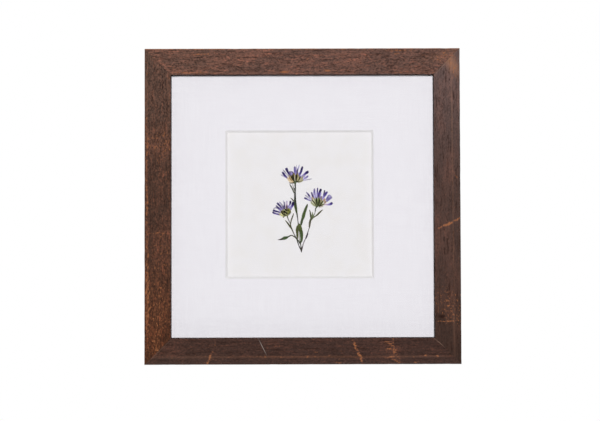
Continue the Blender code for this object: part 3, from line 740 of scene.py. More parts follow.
def rounded_corner(radius, depth, fillet, steps=5):
    """Points round a disc's outer corner at (radius, depth), from its side over to its back face."""
    angles = [math.pi / 2 * i / steps for i in range(steps, -1, -1)]
    centre = (radius - fillet, depth - fillet)
    return [(centre[0] + fillet * math.sin(angle), centre[1] + fillet * math.cos(angle)) for angle in angles]


def make_wall_pad(side, rubber):
    """A pad at one of the back's lower corners: a low disc, rounded towards the wall."""
    node = f"bumper_{side}"
    low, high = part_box(node)
    radius = (high.x - low.x) / 2
    chamfer = 0.2 * MM
    profile = [
        (0, low.y), (radius - chamfer, low.y), (radius, low.y + chamfer),
        *rounded_corner(radius - 0.3 * MM, high.y, 0.9 * MM), (0, high.y),
    ]
    turned_disc(node, f"{node}_moulded", rubber, "rubber", profile)


def make_hanger_nail(side, zinc):
    """A nail of the hanger: a pointed round shank and a low domed head."""
    node = f"hanger_nail_{side}"
    low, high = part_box(node)
    head = (high.x - low.x) / 2
    shank = 0.6 * MM
    tip = 1.4 * MM
    under = high.y - 0.6 * MM
    profile = [
        (0, low.y), (shank, low.y + tip), (shank, under), (head - 0.1 * MM, under), (head, under + 0.15 * MM),
        (head * 0.8, high.y - 0.12 * MM), (head * 0.4, high.y), (0, high.y),
    ]
    turned_disc(node, f"{node}_plated", zinc, "zinc_steel", profile, 24)


# The plant

# A blade is a leaf, petal or bract: its route from base to tip in pixels, its half widths in pixels and its
# colours along its middle line and along its margins, all evenly spread from base to tip
Blade = namedtuple("Blade", "route half middle margin", defaults=(None,))
# A leaf is one or more blades that stand for the solid of the same name
LEAVES = {
    "leaf_centre_sheath": (Blade(
        ((297.2, 217.8), (296.9, 214.0), (296.2, 210.5), (295.3, 206.5), (295.1, 202.5), (294.9, 198.0),
         (294.8, 194.0), (294.6, 190.5), (294.5, 187.8)),
        (0.3, 0.6, 1.0, 1.25, 0.85, 0.8, 0.62, 0.45, 0.2),
        ("#4b5242", "#37432a", "#3d5229", "#324428", "#2b3025", "#2f332c", "#3c4038"),
        ("#5f6656", "#4a5a38", "#56703e", "#38442e", "#343a30", "#3a3d38", "#50544c"),
    ),),
    "leaf_under_top_head": (Blade(
        ((294.1, 193.2), (293.1, 190.6), (292.1, 188.2), (291.0, 186.2), (289.8, 184.2)),
        (0.3, 0.55, 0.6, 0.6, 0.3), ("#4b5544", "#3b4633", "#30382a"), ("#79816f", "#67705e", "#565e4e"),
    ), Blade(
        ((294.6, 192.0), (293.9, 189.5), (293.3, 187.0), (292.7, 184.2)),
        (0.25, 0.42, 0.45, 0.35), ("#7f8a77", "#929b90", "#a0a79e"), ("#a9b0a5", "#b3b9b0", "#b6bbb4"),
    )),
    "leaf_centre_small": (Blade(
        ((294.3, 201.4), (293.2, 200.4), (292.0, 199.1), (290.6, 197.9)),
        (0.5, 0.6, 0.55, 0.25), ("#455137", "#4a4e37", "#565848"), ("#6d775f", "#70745f", "#7d7f70"),
    ),),
    "leaf_left_upper": (Blade(
        ((290.6, 224.6), (290.9, 221.6), (291.8, 218.7), (292.8, 216.0), (293.7, 213.1)),
        (0.4, 0.6, 0.65, 0.6, 0.2), ("#4a4d35", "#5a5e45", "#4c5136", "#565b45"),
        ("#77796a", "#7c7f6c", "#6b6f55", "#7f8270"),
    ),),
    "leaf_left_lower": (Blade(
        ((292.2, 229.9), (290.6, 227.2), (288.9, 224.9), (287.2, 222.5), (285.2, 220.3)),
        (0.5, 0.8, 0.8, 0.65, 0.3), ("#4c4e3a", "#474b2f", "#42492b", "#4f5238"),
        ("#65674f", "#61653f", "#5d6340", "#6d7055"),
    ),),
    "leaf_arched": (Blade(
        ((300.6, 244.8), (299.4, 242.2), (297.6, 239.8), (296.0, 238.0), (294.2, 236.5), (291.9, 235.4),
         (289.9, 235.8), (288.2, 236.7), (286.3, 237.5), (284.4, 238.0), (282.4, 238.8), (280.2, 239.4),
         (277.6, 239.7)),
        (0.5, 0.6, 0.62, 0.6, 0.55, 0.52, 0.55, 0.65, 1.35, 1.75, 1.15, 0.6, 0.15),
        ("#3d4638", "#3f4a34", "#42463c", "#5a5e4e", "#40443c", "#3c4f31", "#47603a", "#403f39", "#4a4342"),
        ("#5c6654", "#58624c", "#5b5f53", "#72766a", "#54584f", "#566e47", "#5d7950", "#565249", "#5e5654"),
    ),),
    "leaf_folded_left": (Blade(
        ((298.6, 225.0), (297.5, 227.3), (297.1, 230.2), (297.2, 233.2), (297.2, 236.2), (297.4, 239.6)),
        (0.75, 1.35, 1.45, 1.15, 0.85, 0.45), ("#4f6238", "#4b5a2e", "#465428", "#48542a", "#4c542e"),
        ("#677446", "#626844", "#5c623c", "#5a6036", "#5a6240"),
    ), Blade(
        ((298.4, 223.6), (299.2, 225.2), (299.5, 227.2), (299.4, 230.4)),
        (0.7, 1.4, 1.2, 0.7), ("#4f5a39", "#62703f", "#525f36", "#36402c"), ("#5f6b48", "#6b7947", "#5d6a40"),
    )),
    "leaf_folded_right": (Blade(
        ((299.9, 224.8), (300.3, 227.4), (300.7, 230.4), (301.0, 233.6), (300.8, 237.2), (300.9, 240.2),
         (301.3, 242.6)),
        (0.9, 1.4, 1.7, 2.0, 2.3, 1.7, 0.3), ("#53622f", "#4d5f33", "#455f36", "#4b6640", "#4f6445"),
        ("#58682f", "#54652c", "#4a5b2c", "#4d5f30", "#566b44"),
    ), Blade(
        ((299.3, 231.6), (299.2, 234.2), (299.2, 236.8), (299.7, 239.2), (300.6, 241.2)),
        (0.3, 0.7, 0.95, 0.85, 0.35), ("#8f9c84", "#b0bbac", "#c4ccc2", "#a6b49c"),
        ("#9ca894", "#bcc5b8", "#ccd3c9", "#b0bca6"),
    )),
    "leaf_tall": (Blade(
        ((301.0, 225.3), (301.5, 222.2), (302.3, 219.4), (303.2, 217.0), (303.7, 214.8), (304.6, 212.0),
         (305.8, 208.6), (306.9, 205.9), (307.5, 204.0)),
        (0.9, 1.15, 1.2, 1.6, 1.6, 1.4, 1.3, 0.95, 0.4),
        ("#44533b", "#47583a", "#4d6434", "#4b6233", "#4b5e37", "#525d45"),
        ("#4b5a42", "#516345", "#5a7344", "#55693f", "#59684a", "#666e5a"),
    ),),
    "leaf_right_slim": (Blade(
        ((311.2, 219.6), (310.9, 217.0), (310.6, 214.5), (310.2, 212.3), (309.4, 209.8)),
        (0.6, 0.85, 0.8, 0.6, 0.3), ("#465030", "#3d4526", "#434a2f", "#656d5e"),
        ("#67704f", "#5f6748", "#697053", "#8f9688"),
    ),),
    "leaf_right_short": (Blade(
        ((312.2, 219.0), (312.5, 217.0), (312.6, 214.8), (312.4, 211.9)),
        (0.9, 1.25, 0.85, 0.25), ("#5d6f45", "#677c51", "#8a9678"), ("#7e8f68", "#8da076", "#a3ad94"),
    ),),
    "leaf_right_spread": (Blade(
        ((312.4, 218.2), (314.0, 217.1), (316.0, 215.8), (318.0, 214.1), (320.0, 212.1), (321.4, 210.8),
         (322.9, 209.8)),
        (0.55, 0.55, 0.65, 0.8, 0.75, 0.55, 0.28), ("#5c6943", "#555a36", "#464929", "#44482b", "#717162"),
        ("#7f8b68", "#777b58", "#666948", "#64684a", "#929285"),
    ),),
    "leaf_right_sheath": (Blade(
        ((309.3, 227.9), (309.5, 225.2), (309.8, 222.6), (310.4, 220.2), (311.3, 217.8)),
        (0.45, 0.95, 1.1, 1.05, 0.55), ("#4a4d3a", "#545745", "#5b5d48", "#464d31"),
        ("#6e7060", "#848574", "#8a8b7a", "#6b7154"),
    ),),
    "bract_right_stem": (Blade(
        ((305.7, 238.6), (306.6, 236.5), (307.4, 234.3), (307.9, 232.3)),
        (0.45, 0.7, 0.7, 0.25), ("#4d4a52", "#434046", "#58555b"), ("#6a676e", "#64616a", "#7b787e"),
    ),),
}

# A stem's route from its head to the foot in pixels, its half width in pixels, and its colours on the way
Stem = namedtuple("Stem", "route half colours")
STEMS = {
    "stem_centre": Stem(
        ((295.2, 183.2), (295.4, 188.0), (295.4, 193.0), (295.6, 198.0), (296.0, 203.0), (296.6, 208.0),
         (297.1, 213.0), (297.6, 218.0), (298.1, 223.0), (298.8, 228.0), (299.6, 234.0), (300.2, 240.0),
         (300.7, 245.0), (301.2, 250.0), (301.4, 252.2)),
        (0.8, 0.6, 0.5, 0.5, 0.5, 0.55, 0.5, 0.45, 0.5, 0.5, 0.5, 0.45, 0.45, 0.75, 0.4),
        ("#5c6456", "#454b41", "#474b42", "#52554d", "#666563", "#837f81", "#858084", "#5c6446", "#4c5a3a",
         "#4b5540", "#555248", "#454242"),
    ),
    "stem_left": Stem(
        ((286.9, 214.6), (287.6, 217.3), (288.4, 219.5), (289.5, 221.7), (290.3, 223.8), (291.0, 226.4),
         (292.0, 229.5), (293.3, 232.6), (294.9, 235.6), (296.3, 238.3), (297.4, 241.2), (298.3, 244.2),
         (299.5, 247.2), (300.8, 250.0)),
        (0.65, 0.55, 0.45, 0.4, 0.45, 0.5, 0.55, 0.5, 0.45, 0.5, 0.55, 0.5, 0.45, 0.5),
        ("#5a6141", "#6d7159", "#a09fa0", "#8f8e86", "#74755f", "#5a5e48", "#7b7c70", "#8f8f88", "#41473a",
         "#454a3d", "#6d6668", "#565052"),
    ),
    "stem_right": Stem(
        ((317.7, 206.2), (316.6, 207.2), (315.6, 208.6), (315.4, 210.6), (314.9, 212.8), (313.9, 215.0),
         (312.5, 217.6), (311.1, 220.0), (310.2, 223.0), (309.5, 226.5), (308.5, 230.0), (307.4, 233.2),
         (306.3, 236.2), (305.1, 239.2), (304.0, 241.6), (303.1, 244.0), (302.5, 246.4), (301.9, 249.0),
         (301.6, 250.8)),
        (0.7, 0.65, 0.65, 0.55, 0.4, 0.4, 0.6, 0.6, 0.5, 0.45, 0.42, 0.5, 0.5, 0.42, 0.45, 0.5, 0.5, 0.5,
         0.4),
        ("#677556", "#6b7862", "#79837a", "#a8a6a6", "#7c876c", "#636a4a", "#6d7058", "#8c8d84", "#97969a",
         "#5c595f", "#8f8b92", "#a39ea4", "#8c8387", "#6a6466", "#4c4849"),
    ),
}

# Pressed petal colours, named as a painter would
INDIGO = "#271a52"
INK = "#1f1642"
VIOLET = "#4f4186"
DUSK = "#5d5280"
LAVENDER = "#9188b8"
LILAC = "#aba4cd"
MIST = "#b3aec8"
ASH = "#a9a6b1"
SMOKE = "#7d7890"

# A head's petals, each a blade that widens from its base to a blunt toothed tip
PETALS = {
    "top": (
        Blade(((290.0, 179.4), (285.5, 177.2), (281.2, 174.8)), (0.4, 0.5, 0.8), (MIST, MIST, ASH)),
        Blade(((290.0, 177.2), (286.8, 174.2), (284.7, 171.6), (283.0, 169.6)), (0.4, 0.45, 0.55, 0.4),
              (LILAC, ASH, SMOKE, ASH)),
        Blade(((291.5, 180.4), (287.6, 178.0), (285.2, 175.8), (283.6, 173.6), (282.2, 171.9)),
              (0.5, 0.9, 1.0, 1.1, 0.8), (MIST, "#6a5f9c", "#40316f", "#34275c", DUSK)),
        Blade(((293.5, 178.6), (291.6, 175.8), (290.2, 173.4), (289.6, 171.4)), (1.0, 2.1, 2.3, 1.6),
              (DUSK, LAVENDER, "#7b709f", "#6b6280")),
        Blade(((293.0, 178.4), (289.9, 175.0), (288.1, 172.4), (287.1, 170.2), (286.3, 167.9)),
              (0.7, 0.9, 0.9, 1.2, 1.5), (LAVENDER, DUSK, INDIGO, INDIGO, "#4a3d74")),
        Blade(((294.4, 178.2), (293.9, 175.2), (292.9, 172.8), (291.2, 171.3)), (0.6, 0.8, 0.8, 0.6),
              (DUSK, "#5a4f6c", "#625872", SMOKE)),
        Blade(((296.2, 178.0), (296.6, 173.0), (296.6, 169.0), (296.7, 165.2)), (0.5, 0.6, 0.5, 0.4),
              (LAVENDER, SMOKE, MIST, ASH)),
        Blade(((295.7, 178.4), (295.2, 174.6), (295.0, 170.6), (294.8, 166.3)), (0.9, 1.1, 1.1, 1.0),
              (DUSK, LAVENDER, "#5f5296", SMOKE)),
        Blade(((298.0, 179.0), (299.0, 175.4), (299.8, 172.6)), (1.0, 1.8, 1.6), (DUSK, LAVENDER, LILAC)),
        Blade(((296.8, 178.4), (297.1, 174.0), (297.5, 170.4), (298.6, 167.6), (299.5, 164.9)),
              (0.7, 0.9, 0.8, 0.6, 0.5), (DUSK, "#5c4f74", "#4d4364", LILAC, ASH)),
        Blade(((299.0, 179.4), (302.0, 177.2), (305.0, 176.4)), (0.8, 1.9, 1.6), (LILAC, MIST, LILAC)),
        Blade(((298.6, 179.0), (299.9, 175.0), (301.1, 171.6), (301.9, 169.0), (302.6, 166.6)),
              (0.7, 0.9, 1.05, 1.05, 1.0), (LAVENDER, VIOLET, "#2a1b62", INDIGO, INDIGO)),
        Blade(((300.2, 179.4), (302.0, 176.6), (303.6, 175.2), (305.7, 174.9)), (0.5, 0.8, 0.8, 0.6),
              (LAVENDER, VIOLET, "#544774", DUSK)),
        Blade(((300.0, 179.4), (302.8, 175.9), (305.2, 173.8), (307.0, 172.5), (308.6, 171.4)),
              (0.5, 0.7, 1.1, 1.4, 1.1), (MIST, LAVENDER, VIOLET, INDIGO, "#33275c")),
        Blade(((300.6, 180.4), (303.4, 179.0), (305.8, 177.9), (308.2, 175.9)), (0.5, 0.8, 1.0, 0.8),
              (MIST, LILAC, LAVENDER, DUSK)),
        Blade(((301.4, 180.6), (304.6, 180.2), (308.2, 179.6), (311.8, 178.9)), (0.4, 0.5, 0.6, 0.4),
              (MIST, MIST, ASH, ASH)),
    ),
    "left": (
        Blade(((280.4, 210.4), (277.6, 208.4), (275.4, 207.8), (273.4, 208.9)), (0.4, 0.45, 0.5, 0.4),
              (LAVENDER, SMOKE, SMOKE, ASH)),
        Blade(((281.6, 214.8), (278.8, 214.3), (276.3, 213.7), (274.2, 213.0), (272.5, 211.9)),
              (0.6, 0.85, 0.8, 0.95, 0.85), ("#5e5a52", DUSK, "#6f659a", "#4d4278", "#453a62")),
        Blade(((281.4, 212.8), (278.9, 211.9), (276.9, 211.4), (275.1, 210.9), (273.1, 210.1)),
              (0.6, 0.8, 0.8, 0.9, 1.35), (LAVENDER, DUSK, "#35285c", "#3d3070", INK)),
        Blade(((282.8, 211.6), (280.8, 210.0), (279.2, 208.4)), (0.9, 1.4, 1.2), (DUSK, LAVENDER, LILAC)),
        Blade(((281.6, 210.4), (279.3, 208.4), (277.7, 207.2), (276.0, 205.5)), (0.6, 0.85, 0.9, 0.7),
              (LAVENDER, "#51467a", "#392e5e", SMOKE)),
        Blade(((283.3, 209.6), (282.7, 206.4), (281.2, 203.8), (279.3, 202.0)), (0.5, 0.75, 0.8, 0.6),
              (DUSK, SMOKE, ASH, LAVENDER)),
        Blade(((283.0, 210.2), (281.2, 207.5), (279.7, 205.5), (278.3, 204.0), (277.0, 202.9)),
              (0.7, 0.95, 0.9, 0.95, 0.8), (LAVENDER, DUSK, "#42356f", "#33285a", "#4f4576")),
        Blade(((284.4, 209.0), (284.1, 205.4), (283.8, 202.6), (283.4, 200.2)), (0.5, 0.5, 0.45, 0.35),
              (DUSK, ASH, ASH, MIST)),
        Blade(((284.5, 209.6), (284.3, 206.6), (284.5, 204.2), (284.4, 201.9)), (0.8, 0.95, 0.75, 0.7),
              (DUSK, "#3f2f5e", "#6a6084", SMOKE)),
        Blade(((286.4, 209.4), (286.6, 206.4), (286.9, 203.8), (286.8, 200.9)), (0.8, 1.0, 0.9, 0.8),
              ("#6f5866", "#6b5468", "#c0afc4", "#a39cb8")),
        Blade(((287.4, 209.8), (288.2, 207.4), (288.4, 205.4)), (0.8, 1.1, 0.8), (DUSK, "#6a5e92", LAVENDER)),
        Blade(((288.2, 209.4), (289.2, 206.4), (290.0, 204.2), (290.4, 202.4), (290.3, 200.8)),
              (0.5, 0.6, 0.8, 1.0, 0.9), (LAVENDER, LILAC, "#4a3f78", INK, "#332752")),
        Blade(((289.2, 210.8), (290.5, 208.4), (291.3, 206.4)), (0.9, 1.5, 1.1),
              ("#6a5c82", "#6f6494", LAVENDER)),
        Blade(((289.6, 210.2), (290.9, 208.0), (292.1, 206.0), (293.0, 204.0), (293.5, 201.6)),
              (0.6, 0.9, 1.2, 1.5, 1.2), (DUSK, LAVENDER, VIOLET, INK, "#2a2250")),
    ),
    "right": (
        Blade(((311.0, 199.6), (307.8, 197.3), (305.2, 195.1)), (0.4, 0.6, 0.8), (MIST, ASH, ASH)),
        Blade(((313.6, 201.8), (310.2, 200.6), (308.0, 199.7), (306.2, 198.7), (304.2, 198.0)),
              (0.5, 0.6, 0.75, 0.85, 0.95), ("#b1aea0", SMOKE, LAVENDER, "#3d3069", "#43366c")),
        Blade(((312.4, 200.2), (310.4, 197.8), (309.2, 195.8), (307.9, 194.0), (306.2, 192.1)),
              (0.5, 0.8, 0.95, 0.8, 0.6), (MIST, LILAC, "#453a66", DUSK, ASH)),
        Blade(((316.0, 199.8), (315.4, 196.4), (314.8, 193.6), (313.9, 191.2)), (1.0, 1.8, 1.6, 1.0),
              (LAVENDER, LILAC, MIST, LILAC)),
        Blade(((313.9, 199.4), (313.0, 197.0), (312.3, 194.8), (311.3, 192.1)), (0.7, 0.9, 0.9, 0.8),
              (SMOKE, "#4c3f66", DUSK, SMOKE)),
        Blade(((315.7, 199.4), (314.8, 195.6), (314.4, 192.0), (314.5, 188.6)), (0.8, 1.0, 0.95, 0.85),
              (LILAC, LAVENDER, "#6a5f98", SMOKE)),
        Blade(((318.0, 199.6), (317.4, 196.2), (316.9, 193.2)), (1.0, 1.6, 1.2), (LAVENDER, LILAC, MIST)),
        Blade(((317.0, 199.6), (317.2, 195.4), (317.4, 191.8), (317.6, 187.9)), (0.5, 0.75, 0.75, 0.7),
              (LAVENDER, LAVENDER, "#5c5088", "#3d3162")),
        Blade(((319.4, 199.0), (320.0, 195.4), (320.8, 192.4)), (0.8, 1.0, 0.9),
              ("#6f6078", LAVENDER, LILAC)),
        Blade(((318.4, 199.0), (318.5, 196.0), (319.2, 193.4), (320.2, 191.1), (321.1, 188.9)),
              (0.8, 0.95, 1.05, 1.2, 1.2), ("#5e4d70", "#4a3b66", VIOLET, INK, INDIGO)),
        Blade(((321.8, 200.0), (323.4, 196.0), (324.2, 193.0), (324.7, 190.4)), (0.5, 0.6, 0.75, 0.7),
              (LILAC, DUSK, "#595268", "#5d586c")),
        Blade(((321.6, 201.2), (322.8, 198.8), (323.6, 196.6)), (0.8, 1.3, 1.2),
              (LILAC, "#9794c4", "#8c87bc")),
        Blade(((321.8, 200.6), (323.4, 197.4), (324.6, 195.2), (325.9, 193.5), (327.5, 191.8)),
              (0.6, 1.1, 1.4, 1.2, 0.8), (LILAC, LAVENDER, "#4d408a", VIOLET, DUSK)),
        Blade(((326.4, 201.6), (328.8, 199.2), (331.9, 197.3)), (0.7, 1.3, 1.0), (DUSK, LAVENDER, SMOKE)),
        Blade(((326.4, 201.0), (327.8, 199.1), (329.1, 197.3), (330.3, 195.2)), (0.9, 1.8, 2.1, 1.6),
              (MIST, "#51457c", "#aba4d2", "#b9b4d4"), (LAVENDER, "#453a70", "#6e6496", "#7a7296")),
        Blade(((323.0, 204.8), (325.9, 204.7), (328.4, 204.7), (330.5, 204.1), (332.4, 202.8)),
              (0.5, 0.6, 1.0, 1.3, 1.3), ("#a98fa6", "#b79fb6", LAVENDER, VIOLET, INDIGO)),
    ),
}

# A cup's bracts: scales with a dark middle stripe and paler margins, from the cup's foot to its mouth
BRACTS = {
    "top": (
        Blade(((294.0, 182.0), (292.4, 179.6), (291.5, 177.0), (290.9, 174.8)), (0.7, 1.1, 1.0, 0.5),
              ("#93855d", "#574d30", "#605635"), ("#a79970", "#9c8e5f", "#87794d")),
        Blade(((294.6, 182.0), (293.6, 179.0), (293.1, 176.6), (292.9, 173.8)), (0.7, 1.45, 1.5, 0.6),
              ("#757549", "#302c1e", "#2b271c", "#554b2d"), ("#878254", "#7a7046", "#6d6233")),
        Blade(((295.3, 182.0), (294.9, 179.0), (294.8, 176.4), (294.8, 174.2)), (0.5, 0.5, 0.45, 0.3),
              ("#d3ceb3", "#dfd7bd", "#b3a981"), ("#bdb697", "#cbc3a6", "#a5996d")),
        Blade(((295.9, 182.0), (296.2, 179.0), (296.5, 176.4), (296.7, 173.8)), (0.7, 1.4, 1.45, 0.6),
              ("#747242", "#2d291a", "#282518", "#574f2d"), ("#918956", "#7c713f", "#706535")),
        Blade(((296.6, 182.0), (297.8, 179.2), (298.4, 176.8), (298.9, 174.4)), (0.5, 0.6, 0.6, 0.35),
              ("#c1b789", "#cec595", "#938756"), ("#b8b081", "#bfb687", "#938756")),
        Blade(((297.2, 182.0), (299.0, 180.0), (299.8, 178.2), (300.5, 176.0)), (0.6, 1.15, 1.2, 0.5),
              ("#99935f", "#3a361e", "#464024"), ("#b3ab7c", "#a9a070", "#8d8354")),
        Blade(((293.8, 182.6), (291.8, 180.8), (290.2, 178.6), (288.9, 176.2)), (0.7, 1.15, 1.1, 0.5),
              ("#e0c69a", "#c8a672", "#ac8d5e"), ("#e2caa0", "#d8bd8e", "#c2a678")),
        Blade(((293.6, 182.8), (291.0, 181.6), (288.8, 179.4), (287.2, 177.0)), (0.8, 1.25, 1.1, 0.5),
              ("#ead4b0", "#ecd6b2", "#dcbf98"), ("#e2cca8", "#e2cca8", "#d2b892")),
        Blade(((297.6, 182.0), (300.0, 180.5), (301.8, 178.9), (303.0, 177.2)), (0.8, 1.2, 1.1, 0.5),
              ("#c9c199", "#cec59d", "#b7af83"), ("#c3bb97", "#c4bd99", "#b6ad89")),
        Blade(((298.0, 182.2), (300.4, 181.6), (302.2, 180.7), (303.6, 179.6)), (0.6, 0.85, 0.8, 0.4),
              ("#afab7f", "#b5b189", "#9f9a73"), ("#a9a67e", "#ada983", "#a19d7b")),
        Blade(((295.4, 183.8), (294.8, 182.0), (294.2, 180.2)), (0.9, 1.35, 0.8),
              ("#6c7952", "#75805d", "#7b8362"), ("#6c7954", "#727e5d", "#798160")),
        Blade(((294.8, 182.6), (292.4, 182.8), (289.2, 183.0)), (0.6, 0.7, 0.45),
              ("#3e432b", "#373826", "#403f2c"), ("#373b26", "#313327")),
        Blade(((295.8, 181.8), (298.8, 181.7), (302.4, 181.2)), (0.6, 0.65, 0.45),
              ("#41462b", "#3b3d27", "#484730"), ("#3d412b", "#383927")),
    ),
    "left": (
        Blade(((285.8, 216.0), (284.0, 213.6), (282.8, 211.6), (281.8, 209.6)), (0.6, 1.0, 1.0, 0.45),
              ("#9b9a61", "#797845", "#777546"), ("#d3d2a1", "#d3d19a", "#b6b379")),
        Blade(((286.2, 216.0), (285.1, 213.4), (284.1, 211.0), (283.0, 208.9)), (0.6, 1.1, 1.1, 0.45),
              ("#a5a578", "#b0af80", "#aeac7c", "#a5a478"), ("#b4b484", "#cfceaa", "#a9a777")),
        Blade(((286.8, 216.0), (286.4, 213.2), (285.6, 210.8), (284.7, 208.4)), (0.5, 0.8, 0.8, 0.4),
              ("#989861", "#c2c191", "#989661"), ("#b9b984", "#dcdbb2", "#b0af7b")),
        Blade(((287.6, 215.6), (287.6, 212.8), (287.0, 210.4), (286.1, 208.0)), (0.6, 1.1, 1.1, 0.45),
              ("#a0a162", "#a6a765", "#a1a262", "#97985e"), ("#a4a562", "#adad68", "#98974f")),
        Blade(((288.2, 215.2), (289.0, 212.4), (288.7, 210.0), (288.0, 207.7)), (0.6, 1.1, 1.1, 0.5),
              ("#808334", "#989a42", "#878a42"), ("#b0b258", "#c2c36a", "#a7a857")),
        Blade(((288.4, 214.8), (289.9, 212.5), (290.1, 210.6), (289.6, 208.7)), (0.6, 0.95, 0.9, 0.4),
              ("#979b5c", "#8b8c52", "#9b9a6a"), ("#9b9c6a", "#a6a677", "#9d9b7b")),
        Blade(((285.4, 216.0), (283.2, 214.2), (281.8, 212.4), (280.7, 210.7)), (0.7, 1.1, 1.05, 0.45),
              ("#989858", "#7d7945", "#93905a"), ("#cdcc8b", "#cac988", "#b1b07b")),
        Blade(((285.2, 216.2), (282.6, 215.5), (280.6, 214.4), (279.2, 213.2)), (0.8, 1.15, 1.0, 0.45),
              ("#c6c684", "#d8d598", "#cac792"), ("#dddba3", "#e4e2b2", "#d8d5ac")),
        Blade(((288.0, 215.2), (289.8, 213.5), (291.1, 211.9)), (0.5, 0.75, 0.45),
              ("#9d9c8d", "#a5a498", "#aaa8a1"), ("#b3b2a5", "#bbb9b0")),
        Blade(((286.4, 215.6), (284.9, 215.4), (283.3, 214.9)), (0.5, 0.6, 0.35), ("#73774a", "#6a7045")),
        Blade(((284.6, 215.0), (283.8, 216.4), (283.1, 217.8)), (0.6, 0.75, 0.5),
              ("#777861", "#878775", "#9d9d91"), ("#909086", "#a0a093")),
    ),
    "right": (
        Blade(((317.3, 206.4), (316.8, 203.0), (316.4, 200.0), (316.2, 197.2)), (0.6, 1.15, 1.2, 0.45),
              ("#616943", "#303619", "#282c13", "#515831"), ("#909966", "#889260", "#808757")),
        Blade(((317.0, 206.2), (315.7, 203.2), (314.9, 200.4), (314.3, 197.8)), (0.6, 0.85, 0.85, 0.4),
              ("#90966c", "#aaae81", "#9da079"), ("#c0c59a", "#d0d2af", "#c4c4a2")),
        Blade(((317.7, 206.4), (318.0, 203.0), (318.2, 199.8), (318.4, 196.8)), (0.6, 0.9, 0.95, 0.4),
              ("#737f4f", "#859059", "#818b51"), ("#9ea674", "#a8b17d", "#a0a872")),
        Blade(((318.2, 206.4), (319.0, 203.2), (319.5, 200.6), (319.9, 198.0)), (0.6, 1.1, 1.1, 0.45),
              ("#586436", "#282e17", "#2d3219", "#5d643c"), ("#909b64", "#8a9560", "#909a68")),
        Blade(((318.6, 206.2), (320.3, 203.0), (321.2, 200.6), (321.8, 198.2)), (0.5, 0.8, 0.8, 0.4),
              ("#909666", "#9e9f70", "#9a9670"), ("#af9c7d", "#b3967d", "#aa9585")),
        Blade(((318.9, 206.2), (321.0, 203.8), (322.5, 201.8), (323.5, 199.9)), (0.6, 1.0, 1.0, 0.45),
              ("#616b3a", "#3b441f", "#636a3c"), ("#b4b781", "#c4c596", "#bbbc96")),
        Blade(((316.8, 206.0), (314.6, 203.2), (313.0, 201.0), (311.6, 199.1)), (0.6, 1.0, 1.0, 0.45),
              ("#929264", "#4f4828", "#6f6645"), ("#c8caa2", "#d0d1ad", "#bfbc9e")),
        Blade(((316.6, 206.2), (314.0, 204.9), (311.9, 203.2), (310.5, 201.2)), (0.8, 1.2, 1.1, 0.45),
              ("#acb285", "#bbbf96", "#bbba9e"), ("#c8cba6", "#d1d2b3", "#cccab7")),
        Blade(((318.8, 206.6), (321.0, 205.4), (322.9, 204.6), (324.6, 203.9)), (0.6, 1.0, 0.9, 0.4),
              ("#3d4828", "#242c16", "#90966c", "#b1b390"), ("#7f865c", "#95996c", "#bfc19e")),
        Blade(((318.6, 207.0), (321.2, 206.6), (323.5, 205.8)), (0.5, 0.7, 0.4), ("#bfb59e", "#d4cabd")),
        Blade(((317.2, 206.8), (315.6, 205.9), (313.6, 205.3)), (0.6, 0.7, 0.4), ("#6d7652", "#808370")),
    ),
}

# Narrow dark scales that lie outermost on a cup
DARK_SCALES = {
    "left": (
        Blade(((287.0, 211.0), (286.1, 210.0), (285.0, 208.9)), (0.46, 0.78, 0.62), ("#3a381c", "#2a2812")),
        Blade(((285.8, 212.9), (284.7, 211.8), (283.6, 210.6)), (0.54, 1.01, 0.62), ("#33311a", "#24220e")),
        Blade(((282.9, 213.8), (282.1, 212.5), (281.4, 211.0)), (0.46, 0.7, 0.46), ("#4c442a", "#4a3c24")),
        Blade(((285.2, 214.9), (284.1, 214.7), (283.0, 214.3)), (0.54, 0.78, 0.46), ("#45462a", "#34341a")),
        Blade(((287.3, 214.0), (286.6, 213.0), (285.9, 211.9)), (0.46, 0.7, 0.46), ("#3c3d1c", "#2c2c14")),
        Blade(((288.5, 211.0), (288.0, 210.2), (287.4, 209.3)), (0.46, 0.62, 0.46), ("#5a5c30", "#46481f")),
    ),
}

# Tube florets that show between a cup and its petals
FLORETS = {
    "top": (
        Blade(((290.6, 178.4), (289.4, 176.4), (288.8, 174.9)), (0.5, 0.6, 0.5), ("#a08f6c", "#94866a")),
        Blade(((301.2, 178.6), (302.6, 177.0), (303.4, 175.6)), (0.5, 0.6, 0.5), ("#a3997a", "#9a948a")),
        Blade(((294.2, 175.6), (294.2, 174.0), (294.4, 172.8)), (0.4, 0.5, 0.4), ("#95823f", "#8d7c50")),
        Blade(((297.6, 175.8), (297.8, 174.2), (297.9, 173.0)), (0.4, 0.5, 0.4), ("#8d7b40", "#857453")),
    ),
    "left": (
        Blade(((286.6, 209.6), (286.5, 208.0), (286.5, 206.8)), (0.5, 0.6, 0.5), ("#7a6657", "#6b5560")),
    ),
    "right": (
        Blade(((313.4, 200.0), (312.6, 198.4), (312.1, 197.0)), (0.8, 1.1, 1.0),
              ("#cdc4b0", "#ab937a", "#a1907e")),
        Blade(((323.2, 201.6), (324.2, 200.2), (325.0, 198.6)), (0.7, 1.1, 1.0),
              ("#bdb5a4", "#b39274", "#ab8f78")),
        Blade(((323.8, 203.8), (325.0, 202.6), (325.9, 201.0)), (0.6, 0.9, 0.9),
              ("#c0baae", "#a2806e", "#9a877c")),
        Blade(((321.0, 199.2), (321.2, 197.8), (321.4, 196.2)), (0.6, 0.8, 0.8),
              ("#857363", "#8a7484", "#8c7d8c")),
    ),
}

